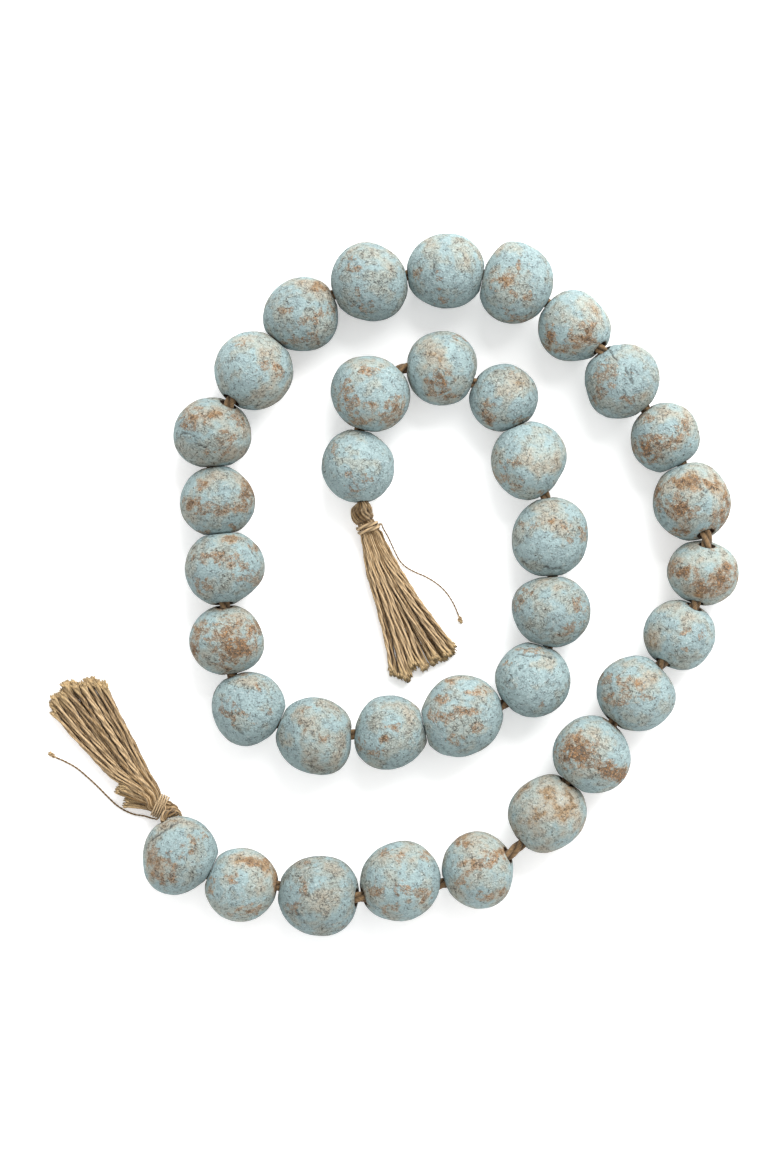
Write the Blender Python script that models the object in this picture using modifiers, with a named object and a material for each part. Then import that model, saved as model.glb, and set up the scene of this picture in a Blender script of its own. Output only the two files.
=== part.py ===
"""A garland of 35 hand-rolled clay beads on a twisted jute cord, laid out in an open spiral.

The spiral lies on the surface z = 0 and is seen in plan: +X right, +Y up the page, +Z up. Bead 1 is
the inner end and bead 35 the outer end. A jute tassel with a wrapped neck is tied on at each end.
Sizes in the tables are millimetres and directions are degrees, 0 along +X and 90 along +Y.
"""

import math

import bmesh
import bpy
import numpy as np
from mathutils import Matrix, Vector

MM = 0.001

# Clearances
GAP = 0.3                # between pieces that touch on the real garland
BEAD_GAP = 0.4           # between neighbouring beads

# Beads
BEAD_FOOT = 0.8          # how much of a bead's lowest point is worn to a flat
BEAD_FLATTENING = 0.97   # height over width
BEAD_UNEVENNESS = 0.3    # each of the slow swellings of a hand-rolled ball
BEAD_SOFTNESS = 0.6      # how softly a pressed end rounds off
BEAD_AROUND = 12         # faces around the hole
BEAD_ALONG = 8           # faces from hole to hole
LUMP_WIDTH = 30.0        # degrees
HOLE_RADIUS = 3.7
HOLE_SIDES = 8
MOUTH_DEPTH = 4.5        # the pierced hole widens over this depth
MOUTH_FLARE = 0.4        # how much, for each millimetre
CUTTER_SPARE = 4.0       # how far a cutter runs on past the surface
CORD_LEVEL = 18.7        # the cord's usual height above the surface
HOLE_DRIFT = 0.35        # how far the holes follow their beads' middles from that height

# Cord
CORD_RADIUS = 3.0        # over its three ridges
CORD_GROOVE = 2.45       # down in its grooves
CORD_LAY = 26.0          # length of one full turn of the twist
CORD_STRAIGHT = 3.2      # the cord runs straight in a hole to this far from the mouth
CORD_STEP = 2.0          # between its sections where it bends
CORD_END = 1.0           # how far inside the end beads the cord stops
CORD_HIDDEN = 8.0        # stretches longer than this lie in a hole, where no twist shows

# Jute yarn
THREAD_RADIUS = 0.95     # the binding
ROOT_DEPTH = 3.0         # how far a yarn runs into the head
YARN_LAYER = 1.95        # height of one layer of yarns on the floor
YARN_RAGGED = 1.2        # how unevenly the yarns are cut

# A skirt yarn from inside the head to its end: centre to ridge, squeezed thin where the neck is near,
# and outside the head, how far along it is and how far down it has come to the floor
YARN_RADII = (0.62, 0.62, 0.9, 1.15, 1.15, 1.15)
YARN_SHARES = (0.0, 0.2, 0.45, 0.72, 1.0)
YARN_SETTLING = (0.0, 0.45, 0.8, 1.0, 1.0)

# One row for each bead: centre x, centre y, size along the hole, size across it, and how far outside
# the line of centres the cord runs on to the next bead
BEADS = (
    (-18.5, 62.0, 38.5, 37.5, 3.0),
    (-12.5, 99.5, 39.0, 42.0, 7.5),
    (25.0, 113.0, 37.5, 39.5, 0.5),
    (57.0, 97.5, 35.0, 36.0, 2.0),
    (70.5, 65.0, 40.0, 40.0, 3.0),
    (81.0, 25.0, 42.0, 39.0, 1.0),
    (82.0, -13.5, 38.5, 40.5, 3.0),
    (72.5, -49.5, 38.5, 39.0, 5.0),
    (35.0, -68.0, 44.0, 41.5, 3.0),
    (-2.5, -77.0, 40.5, 39.5, 0.5),
    (-41.0, -78.0, 41.0, 40.0, 2.0),
    (-75.5, -64.0, 38.0, 38.0, 3.5),
    (-87.0, -28.5, 37.0, 39.0, 0.5),
    (-88.0, 8.5, 40.0, 42.0, 1.0),
    (-91.5, 43.5, 38.0, 39.0, 2.0),
    (-94.5, 78.5, 38.0, 41.0, 1.0),
    (-73.0, 111.5, 41.0, 41.0, 2.0),
    (-48.5, 141.0, 41.0, 37.5, 2.0),
    (-13.0, 157.5, 40.0, 41.0, 1.0),
    (27.5, 163.5, 42.0, 39.0, 2.0),
    (63.5, 156.5, 38.0, 42.5, 2.0),
    (94.0, 134.5, 38.5, 38.5, 2.0),
    (118.5, 106.0, 38.0, 40.0, 1.0),
    (141.0, 77.0, 35.5, 37.5, 3.0),
    (155.0, 43.5, 41.0, 41.0, 3.5),
    (161.0, 6.5, 35.0, 37.5, 1.5),
    (148.5, -26.0, 37.5, 37.0, 1.5),
    (125.5, -56.5, 38.5, 41.0, -1.0),
    (102.5, -88.5, 38.5, 42.0, -2.5),
    (80.0, -119.5, 42.0, 39.0, 3.0),
    (44.0, -148.5, 38.0, 40.0, 4.5),
    (3.5, -154.0, 42.0, 41.5, 4.5),
    (-39.0, -161.0, 43.0, 42.0, -1.5),
    (-79.5, -156.0, 38.0, 38.5, 3.0),
    (-111.5, -141.0, 40.0, 40.5, 0.0),
)

# Each bead's own swellings (+) and pressed places (-): direction, height
LUMPS = {
    1: ((52, -1.1), (190, 0.5), (128, 0.7), (300, 0.5)),
    2: ((15, 0.7), (90, -0.5)),
    3: ((90, -0.7), (345, -0.8)),
    4: ((45, -0.4), (5, 0.4)),
    5: ((330, -1.9), (265, 1.0)),
    6: ((37, 1.5), (215, 1.2), (135, -0.9)),
    7: ((105, -1.1), (155, 1.1)),
    8: ((108, 0.6), (180, 0.5)),
    9: ((108, 0.7), (150, -1.2), (240, 0.9)),
    10: ((150, -1.6), (300, -1.2), (180, -1.4)),
    11: ((300, 1.9), (55, -0.8), (28, 0.7), (0, -1.8)),
    12: ((150, 0.9), (255, 1.2), (310, -0.9)),
    13: ((30, -0.9), (330, 0.9)),
    14: ((308, -2.1),),
    15: ((45, -0.9), (200, 0.5), (300, -0.6)),
    16: ((210, 0.6), (265, -0.9), (300, -0.9), (150, -0.5)),
    18: ((7, -0.9), (315, 1.8), (255, -0.6)),
    19: ((60, -0.6), (105, 0.6), (255, -0.6), (315, 1.1)),
    20: ((15, -1.0), (210, 0.5), (330, -0.7)),
    21: ((107, 2.2), (140, -0.8), (68, -0.7)),
    22: ((40, -2.0), (278, -1.3), (135, -0.5)),
    23: ((48, 0.4), (150, 0.8), (195, -0.8), (235, 0.5)),
    24: ((15, -0.8), (180, -0.8), (270, 0.6), (310, -1.0), (340, 0.6)),
    25: ((30, -0.8),),
    26: ((70, -1.2), (240, -0.5)),
    27: ((60, -0.7), (250, -1.2), (285, 0.6), (15, 0.4)),
    28: ((0, 1.1), (30, -0.7), (75, 0.8), (112, -0.8)),
    29: ((75, 1.3), (145, -0.9)),
    30: ((75, 0.6), (165, 1.0), (210, -0.8), (300, -1.2)),
    31: ((85, 0.5), (352, -1.2)),
    32: ((215, 1.3), (320, -0.6), (75, 0.5), (118, -0.4)),
    33: ((300, 1.1), (100, -0.9), (345, -0.9)),
    34: ((15, 0.4), (322, -0.4)),
    35: ((90, 0.6), (233, 1.1), (180, -1.0), (305, -1.9)),
}

# Where a hole opens so high that its mouth and the cord show from above. After the bead before the
# gap: the rise over the usual height of its own mouth, and of the next bead's
HIGH_MOUTHS = {
    13: (3.5, 5.5),
    16: (7.0, 5.0),
    22: (6.0, 3.5),
    25: (9.0, 9.0),
    26: (3.0, 6.0),
    27: (4.0, 2.0),
    28: (3.0, 2.0),
    29: (1.5, 4.0),
    30: (1.0, 6.0),
    32: (4.0, 6.0),
}

# Where the cord leaves the two end beads for their tassels, seen from each bead's centre
FIRST_EXIT = -83.0
LAST_EXIT = 114.0

# Tassel heads, from the bead to the bell that the yarns leave: x, y, z, half width, half height
INNER_HEAD = (
    (-16.2, 43.4, 18.3, 3.0, 3.0),
    (-15.9, 41.2, 16.8, 4.4, 4.2),
    (-16.8, 38.6, 13.0, 6.3, 5.8),
    (-16.4, 36.2, 10.2, 6.1, 5.7),
    (-15.5, 34.0, 7.9, 4.9, 4.9),
    (-15.0, 33.0, 7.0, 4.2, 4.2),
    (-12.3, 26.8, 6.7, 4.2, 4.2),
    (-11.9, 25.9, 6.4, 5.9, 4.7),
    (-9.9, 21.2, 5.8, 6.9, 4.9),
)
OUTER_HEAD = (
    (-113.4, -118.8, 7.9, 2.4, 2.4),
    (-114.6, -118.8, 7.9, 3.7, 3.7),
    (-116.6, -118.5, 7.5, 4.5, 4.5),
    (-118.1, -117.8, 6.9, 4.2, 4.2),
    (-124.5, -115.3, 6.7, 4.2, 4.2),
    (-125.8, -114.2, 6.4, 5.0, 4.6),
    (-128.2, -110.9, 5.8, 7.2, 4.9),
)

# The outer tassel's stem, from bead 35's hole down to its head, and the loop at its side: x, y, z
OUTER_STEM = (
    (-119.3, -122.8, 18.8),
    (-120.2, -121.5, 18.6),
    (-119.0, -119.4, 16.8),
    (-116.0, -118.7, 13.2),
    (-115.7, -118.4, 9.5),
)
OUTER_LOOP = (
    (-118.0, -118.6, 9.6),
    (-116.2, -117.4, 10.4),
    (-113.8, -117.9, 9.8),
    (-111.9, -120.2, 8.0),
    (-112.0, -122.2, 5.6),
    (-113.8, -122.5, 4.3),
    (-116.2, -121.0, 4.6),
)
HEAD_SIDES = 16
STEM_RADIUS = 2.4
LOOP_RADIUS = 1.6
LOOP_SIDES = 8
LOOP_STEP = 2.0

# Skirts on the floor: distance from the neck, and the sideways reach of each edge, the tail's last
INNER_SKIRT = (
    (0.0, -6.3, 6.2),
    (17.0, -10.8, 7.6),
    (39.5, -13.2, 10.4),
    (57.0, -15.8, 14.0),
    (77.0, -20.4, 19.2),
)
OUTER_SKIRT = (
    (0.0, -6.2, 3.8),
    (7.0, -7.2, 4.3),
    (19.0, -8.6, 9.2),
    (27.0, -10.0, 12.2),
    (52.0, -13.0, 14.6),
    (75.0, -17.2, 16.6),
)
YARN_INSET = 1.0         # from a skirt's edge to the middle of its outermost yarns

# Where the yarns end, across the skirt from the tail's far side to its near side
INNER_ENDS = ((-1.0, 73.5), (-0.6, 76.5), (-0.3, 74.5), (0.25, 76.0), (0.6, 75.0), (1.0, 71.0))
OUTER_ENDS = ((-1.0, 69.0), (-0.45, 75.0), (0.05, 79.0), (0.6, 77.5), (1.0, 73.0))

# Yarns in each layer, lowest first, and how far apart the layers leave the head
LAYERS = (8, 10, 9, 8)
ROOT_SPREAD = 0.44

# The outer tassel's short cut ends, a group of yarns in each row: x, y, z of the root and of the end
STUBS = (
    (-126.0, -117.0, 7.0, -143.6, -106.6, 5.6),
    (-125.9, -117.0, 5.4, -139.8, -113.4, 3.0),
)
STUB_YARNS = 3
STUB_SPACING = (1.55, 1.75, 2.1)
STUB_RADII = (0.72, 0.85, 1.0)

# Wrapped necks: centre x, y, z and heading
INNER_NECK = (-13.65, 29.9, 6.85, -66.5)
OUTER_NECK = (-121.3, -116.55, 6.8, 158.5)
NECK_RADIUS = 4.2
BINDING_TURNS = 2.0
BINDING_PITCH = 2.25
BINDING_STEPS = 12

# Free tie tails along the floor: x, y, z
INNER_TAIL = (
    (-6.5, 32.0, 7.0),
    (-5.6, 29.6, 6.2),
    (-3.4, 25.8, 4.4),
    (-1.3, 21.4, 2.6),
    (0.8, 16.9, 1.3),
    (3.2, 12.6, 0.8),
    (6.6, 9.3, 0.55),
    (11.3, 6.7, 0.5),
    (16.8, 4.3, 0.5),
    (22.2, 1.0, 0.5),
    (26.8, -3.1, 0.5),
    (30.2, -7.8, 0.5),
    (32.4, -12.0, 0.5),
    (34.0, -15.9, 0.5),
)
OUTER_TAIL = (
    (-124.9, -123.0, 4.6),
    (-127.4, -122.7, 3.0),
    (-131.6, -121.6, 1.3),
    (-136.5, -120.9, 0.8),
    (-141.4, -119.0, 0.6),
    (-146.0, -116.1, 0.6),
    (-150.2, -112.2, 0.6),
    (-155.0, -107.3, 0.6),
    (-160.6, -102.0, 0.6),
    (-167.0, -96.6, 0.6),
    (-172.7, -93.3, 0.6),
    (-177.4, -91.2, 0.6),
)
INNER_TAIL_RADIUS = 0.45
OUTER_TAIL_RADIUS = 0.55
TAIL_STEP = 2.9

# End knots: centre x, y, half length, half width, heading
INNER_KNOT = (34.9, -18.3, 2.0, 1.5, -70.0)
OUTER_KNOT = (-180.0, -89.6, 2.1, 1.3, 144.0)
KNOT_SEAT = 0.75         # how far below its middle a knot is flat, in half widths
KNOT_BULGE = 0.1


def clear_scene():
    """Removes whatever objects the file starts with."""
    for item in list(bpy.data.objects):
        bpy.data.objects.remove(item, do_unlink=True)


def make_collection(name):
    collection = bpy.data.collections.new(name)
    bpy.context.scene.collection.children.link(collection)
    return collection


def make_material(name, colour, roughness):
    material = bpy.data.materials.new(name)
    material.use_nodes = True
    shader = material.node_tree.nodes["Principled BSDF"]
    shader.inputs["Base Color"].default_value = (*colour, 1.0)
    shader.inputs["Roughness"].default_value = roughness
    shader.inputs["Metallic"].default_value = 0.0
    material.diffuse_color = (*colour, 1.0)
    return material


def add_object(name, data, collection, material):
    """Links a mesh or curve, whose points are already in their place, as a named object."""
    item = bpy.data.objects.new(name, data)
    data.materials.append(material)
    collection.objects.link(item)
    return item


def set_aside(item):
    """Marks a cutter or an added shape, which is no piece of the garland itself."""
    item.hide_render = True
    item.display_type = "WIRE"


def boolean(item, other, operation):
    modifier = item.modifiers.new(operation.title(), "BOOLEAN")
    modifier.operation = operation
    modifier.solver = "EXACT"
    modifier.object = other


def direction(degrees):
    """The level unit vector at an angle."""
    return np.array((math.cos(math.radians(degrees)), math.sin(math.radians(degrees)), 0.0))


def unit(vector):
    return vector / np.linalg.norm(vector)


def smooth_route(points, step):
    """Reads a Catmull-Rom curve through the points, about one reading for each step of length."""
    points = np.array(points)
    padded = np.vstack((2 * points[0] - points[1], points, 2 * points[-1] - points[-2]))
    route = []
    for before, start, end, after in zip(padded, padded[1:], padded[2:], padded[3:]):
        readings = max(1, round(float(np.linalg.norm(end - start)) / step))
        for share in np.arange(readings) / readings:
            bend = (2 * before - 5 * start + 4 * end - after) * share ** 2
            twist = (3 * start - before - 3 * end + after) * share ** 3
            route.append(start + 0.5 * ((end - before) * share + bend + twist))
    route.append(points[-1])
    return np.array(route)


def loft(rings):
    """Skins a stack of rings with equal counts and closes both ends, facing outwards."""
    count = len(rings[0])
    vertices = np.vstack(rings) * MM
    faces = [tuple(range(count)), tuple(reversed(range(len(vertices) - count, len(vertices))))]
    for ring in range(len(rings) - 1):
        first = ring * count
        for side in range(count):
            after = (side + 1) % count
            faces.append((first + side, first + count + side, first + count + after, first + after))
    mesh = bpy.data.meshes.new("loft")
    mesh.from_pydata(vertices.tolist(), [], faces)
    face_outwards(mesh)
    return mesh


def face_outwards(mesh):
    shape = bmesh.new()
    shape.from_mesh(mesh)
    bmesh.ops.recalc_face_normals(shape, faces=shape.faces)
    shape.to_mesh(mesh)
    shape.free()


def tube(name, route, radius, collection, material):
    """A round cord or thread as a curve with a bevel and filled caps."""
    curve = bpy.data.curves.new(name, "CURVE")
    curve.dimensions = "3D"
    curve.bevel_depth = radius * MM
    curve.bevel_resolution = 2
    curve.use_fill_caps = True
    spline = curve.splines.new("POLY")
    spline.points.add(len(route) - 1)
    for point, place in zip(spline.points, np.array(route) * MM):
        point.co = (*place, 1.0)
    return add_object(name, curve, collection, material)


def tube_mesh(route, radius, sides):
    """The same round section as a mesh, for a tube that is fused into another solid."""
    angles = np.arange(sides) * 2 * math.pi / sides
    rings = []
    for place, heading in zip(route, headings_along(route)):
        side, rise = cross_axes(heading)
        rings.append(place + radius * (np.outer(np.cos(angles), side) + np.outer(np.sin(angles), rise)))
    return loft(rings)


def headings_along(route):
    """The unit direction of a route at each of its points."""
    steps = np.gradient(np.array(route), axis=0)
    return steps / np.linalg.norm(steps, axis=1)[:, None]


def cross_axes(heading):
    """Two unit vectors across a heading: one level, one as near upright as it allows."""
    side = unit(np.array((heading[1], -heading[0], 0.0)))
    return side, np.cross(side, heading)


def lump_height(number, degrees):
    """How far a bead's own swellings and pressed places move its outline at these angles."""
    total = np.zeros_like(degrees)
    for towards, height in LUMPS.get(number, ()):
        turn = (degrees - towards + 180.0) % 360.0 - 180.0
        total = total + height * np.exp(-(turn / LUMP_WIDTH) ** 2)
    return total


def outline_radius(bead, degrees):
    """A bead's plan radius at an angle: its ellipse and its lumps."""
    turn = math.radians(degrees - bead["heading"])
    ellipse = 1.0 / math.hypot(math.cos(turn) / bead["half"][0], math.sin(turn) / bead["half"][1])
    return ellipse + float(lump_height(bead["number"], np.array(degrees)))


def hole_height(bead):
    """Holes lie near one level, a little higher in a tall bead."""
    return CORD_LEVEL + HOLE_DRIFT * (bead["centre"][2] - CORD_LEVEL)


def plan_beads():
    """Works out each bead's place, the ends of its hole and where its neighbours press it flat."""
    places = np.array([(row[0], row[1]) for row in BEADS])
    steps = [unit(step) for step in np.diff(places, axis=0)]
    turns = [steps[0]] + [before + after for before, after in zip(steps, steps[1:])] + [steps[-1]]
    beads = []
    for index, (x, y, along, across, outside) in enumerate(BEADS):
        half = np.array((along, across, across * BEAD_FLATTENING)) / 2
        beads.append({
            "number": index + 1,
            "centre": np.array((x, y, half[2] - BEAD_FOOT)),
            "half": half,
            "heading": math.degrees(math.atan2(turns[index][1], turns[index][0])),
            "outside": outside,
            "limits": [],
        })
    beads[0]["enter"] = end_mouth(beads[0], FIRST_EXIT)
    beads[-1]["leave"] = end_mouth(beads[-1], LAST_EXIT)
    for bead, after in zip(beads, beads[1:]):
        meet(bead, after)
    return beads


def end_mouth(bead, towards):
    """Where an end bead's hole opens towards its tassel."""
    mouth = bead["centre"] + outline_radius(bead, towards) * direction(towards)
    mouth[2] = hole_height(bead)
    return mouth


def meet(bead, after):
    """Shares the room between two neighbours and sets where the cord passes between them."""
    step = (after["centre"] - bead["centre"]) * (1.0, 1.0, 0.0)
    towards = math.degrees(math.atan2(step[1], step[0]))
    forward = unit(step)
    left = np.array((-forward[1], forward[0], 0.0))
    reach = outline_radius(bead, towards)
    reach_back = outline_radius(after, towards + 180.0)
    spare = float(np.linalg.norm(step)) - BEAD_GAP - reach - reach_back
    bead["limits"].append((forward, reach + spare / 2))
    after["limits"].append((-forward, reach_back + spare / 2))
    middle = bead["centre"] + forward * (reach + spare / 2 + BEAD_GAP / 2) + left * bead["outside"]
    middle[2] = (hole_height(bead) + hole_height(after)) / 2
    opening = max(spare, 0.0) / 2 + bead["outside"] ** 2 / (4 * bead["half"][1])
    rises = HIGH_MOUTHS.get(bead["number"], (0.0, 0.0))
    up = np.array((0.0, 0.0, 1.0))
    bead["leave"] = middle - forward * (opening + end_slope(bead, rises[0])) + up * rises[0]
    after["enter"] = middle + forward * (opening + end_slope(after, rises[1])) + up * rises[1]


def end_slope(bead, rise):
    """How far a bead's end has drawn back at this height over its middle."""
    return bead["half"][0] * (1.0 - math.sqrt(1.0 - (rise / bead["half"][2]) ** 2))


def bead_surface(bead, ball):
    """Turns points on a unit ball, with the hole along x, into a bead's points in place."""
    forward = direction(bead["heading"])
    left = np.array((-forward[1], forward[0], 0.0))
    frame = np.array((forward, left, (0.0, 0.0, 1.0)))
    facing = ball @ frame
    points = (ball * bead["half"]) @ frame
    random = np.random.default_rng(bead["number"])
    axes = random.normal(size=(4, 3))
    axes /= np.linalg.norm(axes, axis=1)[:, None]
    waves = np.sin(facing @ axes.T * random.uniform(2.5, 4.0, 4) + random.uniform(0.0, 6.28, 4))
    level = np.sqrt(np.maximum(1.0 - facing[:, 2] ** 2, 0.0))
    degrees = np.degrees(np.arctan2(facing[:, 1], facing[:, 0]))
    push = lump_height(bead["number"], degrees) * level ** 2
    push += BEAD_UNEVENNESS * waves.sum(axis=1) * (1.0 + facing[:, 2]) / 2 * (1.0 - level ** 4)
    points = points + facing * push[:, None]
    for towards, limit in bead["limits"]:
        start = limit - BEAD_SOFTNESS
        past = np.maximum(points @ towards - start, 0.0)
        pressed = BEAD_SOFTNESS * (1.0 - np.exp(-past / BEAD_SOFTNESS))
        points = points + np.outer(pressed - past, towards)
    return points + bead["centre"]


def make_bead(bead, pieces, cutters, material):
    """A hand-rolled ball, pressed by its neighbours, with a flat foot and a pierced hole."""
    name = "bead_%02d" % bead["number"]
    shape = bmesh.new()
    bmesh.ops.create_uvsphere(shape, u_segments=BEAD_AROUND, v_segments=BEAD_ALONG, radius=1.0)
    bmesh.ops.rotate(shape, verts=shape.verts, matrix=Matrix.Rotation(math.pi / 2, 3, "Y"))
    ball = np.array([vertex.co for vertex in shape.verts])
    for vertex, place in zip(shape.verts, bead_surface(bead, ball) * MM):
        vertex.co = place
    everything = shape.verts[:] + shape.edges[:] + shape.faces[:]
    cut = bmesh.ops.bisect_plane(shape, geom=everything, plane_no=(0, 0, 1), clear_inner=True)
    rim = [item for item in cut["geom_cut"] if isinstance(item, bmesh.types.BMEdge)]
    bmesh.ops.contextual_create(shape, geom=rim)
    bmesh.ops.recalc_face_normals(shape, faces=shape.faces)
    mesh = bpy.data.meshes.new(name)
    shape.to_mesh(mesh)
    shape.free()
    mesh.shade_smooth()
    item = add_object(name, mesh, pieces, material)
    boolean(item, make_hole(bead, cutters, material), "DIFFERENCE")
    return item


def make_hole(bead, cutters, material):
    """The cutter for a pierced hole: a turned spool that widens towards both mouths."""
    along = Vector(bead["leave"] - bead["enter"])
    inside = along.length / 2 - MOUTH_DEPTH
    outside = along.length / 2 + CUTTER_SPARE
    wide = HOLE_RADIUS + MOUTH_FLARE * (outside - inside)
    profile = (
        (0.0, -outside),
        (wide, -outside),
        (HOLE_RADIUS, -inside),
        (HOLE_RADIUS, inside),
        (wide, outside),
        (0.0, outside),
    )
    name = "hole_%02d" % bead["number"]
    mesh = bpy.data.meshes.new(name)
    points = [(radius * MM, 0.0, height * MM) for radius, height in reversed(profile)]
    mesh.from_pydata(points, [(index, index + 1) for index in range(len(points) - 1)], [])
    item = add_object(name, mesh, cutters, material)
    screw = item.modifiers.new("Turn", "SCREW")
    screw.steps = HOLE_SIDES
    screw.render_steps = HOLE_SIDES
    screw.use_merge_vertices = True
    screw.merge_threshold = 0.00005
    middle = Vector((bead["leave"] + bead["enter"]) / 2) * MM
    item.matrix_world = Matrix.Translation(middle) @ along.to_track_quat("Z", "Y").to_matrix().to_4x4()
    set_aside(item)
    return item


def hole_point(bead, end, inset):
    """A point on a bead's hole axis, this far in from its enter or leave mouth."""
    inward = unit(bead["leave"] - bead["enter"]) * (1 if end == "enter" else -1)
    return bead[end] + inward * inset


def cord_route(beads):
    """The cord's stations: straight through each hole, then a smooth bend to the next bead."""
    route = [hole_point(beads[0], "enter", CORD_END + GAP)]
    for bead, after in zip(beads, beads[1:]):
        leave = hole_point(bead, "leave", CORD_STRAIGHT)
        arrive = hole_point(after, "enter", CORD_STRAIGHT)
        reach = float(np.linalg.norm(arrive - leave))
        forward = unit(bead["leave"] - bead["enter"]) * reach
        onward = unit(after["leave"] - after["enter"]) * reach
        readings = round(reach / CORD_STEP) - 1
        route.append(leave)
        for share in np.arange(1, readings + 1) / (readings + 1):
            blend = share ** 2 * (3 - 2 * share)
            pull = share * (1 - share) ** 2 * forward - share ** 2 * (1 - share) * onward
            route.append(leave + (arrive - leave) * blend + pull)
        route.append(arrive)
    route.append(hole_point(beads[-1], "leave", CORD_END + GAP))
    return np.array(route)


def make_cord(beads, pieces, material):
    """Three strands laid up as one cord: a six-pointed section that turns along each gap."""
    route = cord_route(beads)
    lengths = np.linalg.norm(np.diff(route, axis=0), axis=1)
    exposed = np.where(lengths < CORD_HIDDEN, lengths, 0.0)
    phases = np.concatenate(((0.0,), np.cumsum(exposed))) * 2 * math.pi / CORD_LAY
    radii = np.tile((CORD_RADIUS, CORD_GROOVE), 3)
    rings = []
    for place, heading, phase in zip(route, headings_along(route), phases):
        side, rise = cross_axes(heading)
        angles = phase + np.arange(6) * math.pi / 3
        across = np.outer(radii * np.cos(angles), side)
        rings.append(place + across + np.outer(radii * np.sin(angles), rise))
    mesh = loft(rings)
    return add_object("core_cord", mesh, pieces, material)


def head_mesh(rows):
    """A tassel's head: upright oval sections, one for each row, square to the way it runs."""
    rows = np.array(rows)
    angles = np.arange(HEAD_SIDES) * 2 * math.pi / HEAD_SIDES
    rings = []
    for row, heading in zip(rows, headings_along(rows[:, :3] * (1.0, 1.0, 0.0))):
        side, rise = cross_axes(heading)
        across = np.outer(row[3] * np.cos(angles), side)
        rings.append(row[:3] + across + np.outer(row[4] * np.sin(angles), rise))
    return loft(rings)


def yarn_rings(route, radii):
    """Three-sided sections along a yarn, flat side down so that it rests level."""
    corners = np.radians((90.0, 210.0, 330.0))
    rings = []
    for place, heading, radius in zip(route, headings_along(route), radii):
        side, rise = cross_axes(unit(heading * (1.0, 1.0, 0.0)))
        rings.append(place + radius * (np.outer(np.cos(corners), side) + np.outer(np.sin(corners), rise)))
    return rings


def skirt_routes(head, skirt, ends):
    """Lays the yarns of a skirt: from the head's last section, fanning out, layer on layer."""
    last = np.array(head[-1])
    forward = unit((last[:3] - np.array(head[-2][:3])) * (1.0, 1.0, 0.0))
    left = np.array((-forward[1], forward[0], 0.0))
    bell = math.dist(head[-1][:2], head[-3][:2])
    skirt = np.array(skirt)
    ends = np.array(ends)
    settling = np.array(YARN_SETTLING)
    random = np.random.default_rng(len(skirt))
    routes = []
    for layer, count in enumerate(LAYERS):
        rise = (layer - (len(LAYERS) - 1) / 2) * last[4] * ROOT_SPREAD
        room = last[3] * math.sqrt(1.0 - (rise / last[4]) ** 2) - YARN_RADII[2]
        floor = YARN_RADII[-1] / 2 + layer * YARN_LAYER
        for share in np.linspace(-1.0, 1.0, count):
            end = float(np.interp(share, ends[:, 0], ends[:, 1])) + random.uniform(-YARN_RAGGED, YARN_RAGGED)
            distances = bell + (end - bell) * np.array(YARN_SHARES)
            far = np.interp(distances, skirt[:, 0], skirt[:, 1]) + YARN_INSET
            near = np.interp(distances, skirt[:, 0], skirt[:, 2]) - YARN_INSET
            far[0] = -room
            near[0] = room
            lateral = far + (near - far) * (share + 1.0) / 2
            points = last[:3] + np.outer(distances - bell, forward) + np.outer(lateral, left)
            points[:, 2] = (last[2] + rise) * (1.0 - settling) + floor * settling
            routes.append(np.vstack((points[0] - forward * ROOT_DEPTH, points)))
    return routes


def stub_routes():
    """The short cut ends beside the outer tassel: two groups of a few yarns side by side."""
    groups = []
    for row in STUBS:
        root = np.array(row[:3])
        end = np.array(row[3:])
        stations = np.array((root, (root + end) / 2, end))
        side, rise = cross_axes(unit((end - root) * (1.0, 1.0, 0.0)))
        places = np.arange(STUB_YARNS) - (STUB_YARNS - 1) / 2
        groups.append([stations + np.outer(STUB_SPACING, side) * place for place in places])
    return groups


def join_yarns(name, routes, cutters, material):
    """Puts all the yarns of one tassel in one mesh, each of them still a body of its own."""
    shape = bmesh.new()
    for route in routes:
        radii = YARN_RADII if len(route) == len(YARN_RADII) else STUB_RADII
        mesh = loft(yarn_rings(route, radii))
        shape.from_mesh(mesh)
        bpy.data.meshes.remove(mesh)
    mesh = bpy.data.meshes.new(name)
    shape.to_mesh(mesh)
    shape.free()
    item = add_object(name, mesh, cutters, material)
    set_aside(item)
    return item


def make_tassel(name, head, yarns, extra_meshes, pieces, cutters, material):
    """A tassel: its head, with each group of yarns and any other shapes fused into it."""
    item = add_object(name, head_mesh(head), pieces, material)
    for index, routes in enumerate(yarns):
        group = join_yarns("%s_yarns_%d" % (name, index + 1), routes, cutters, material)
        boolean(item, group, "UNION")
    for index, mesh in enumerate(extra_meshes):
        added = add_object("%s_added_%d" % (name, index + 1), mesh, cutters, material)
        set_aside(added)
        boolean(item, added, "UNION")
    return item


def make_binding(name, neck, pieces, material):
    """The thread wound round a tassel's neck."""
    x, y, z, heading = neck
    forward = direction(heading)
    side, rise = cross_axes(forward)
    radius = (NECK_RADIUS + GAP) / math.cos(math.pi / BINDING_STEPS) + THREAD_RADIUS
    turns = np.arange(int(BINDING_TURNS * BINDING_STEPS) + 1) / BINDING_STEPS
    angles = turns * 2 * math.pi - math.pi / 2
    along = (turns - BINDING_TURNS / 2) * BINDING_PITCH
    route = np.array((x, y, z)) + np.outer(along, forward)
    route = route + radius * (np.outer(np.cos(angles), side) + np.outer(np.sin(angles), rise))
    return tube(name, route, THREAD_RADIUS, pieces, material)


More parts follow.
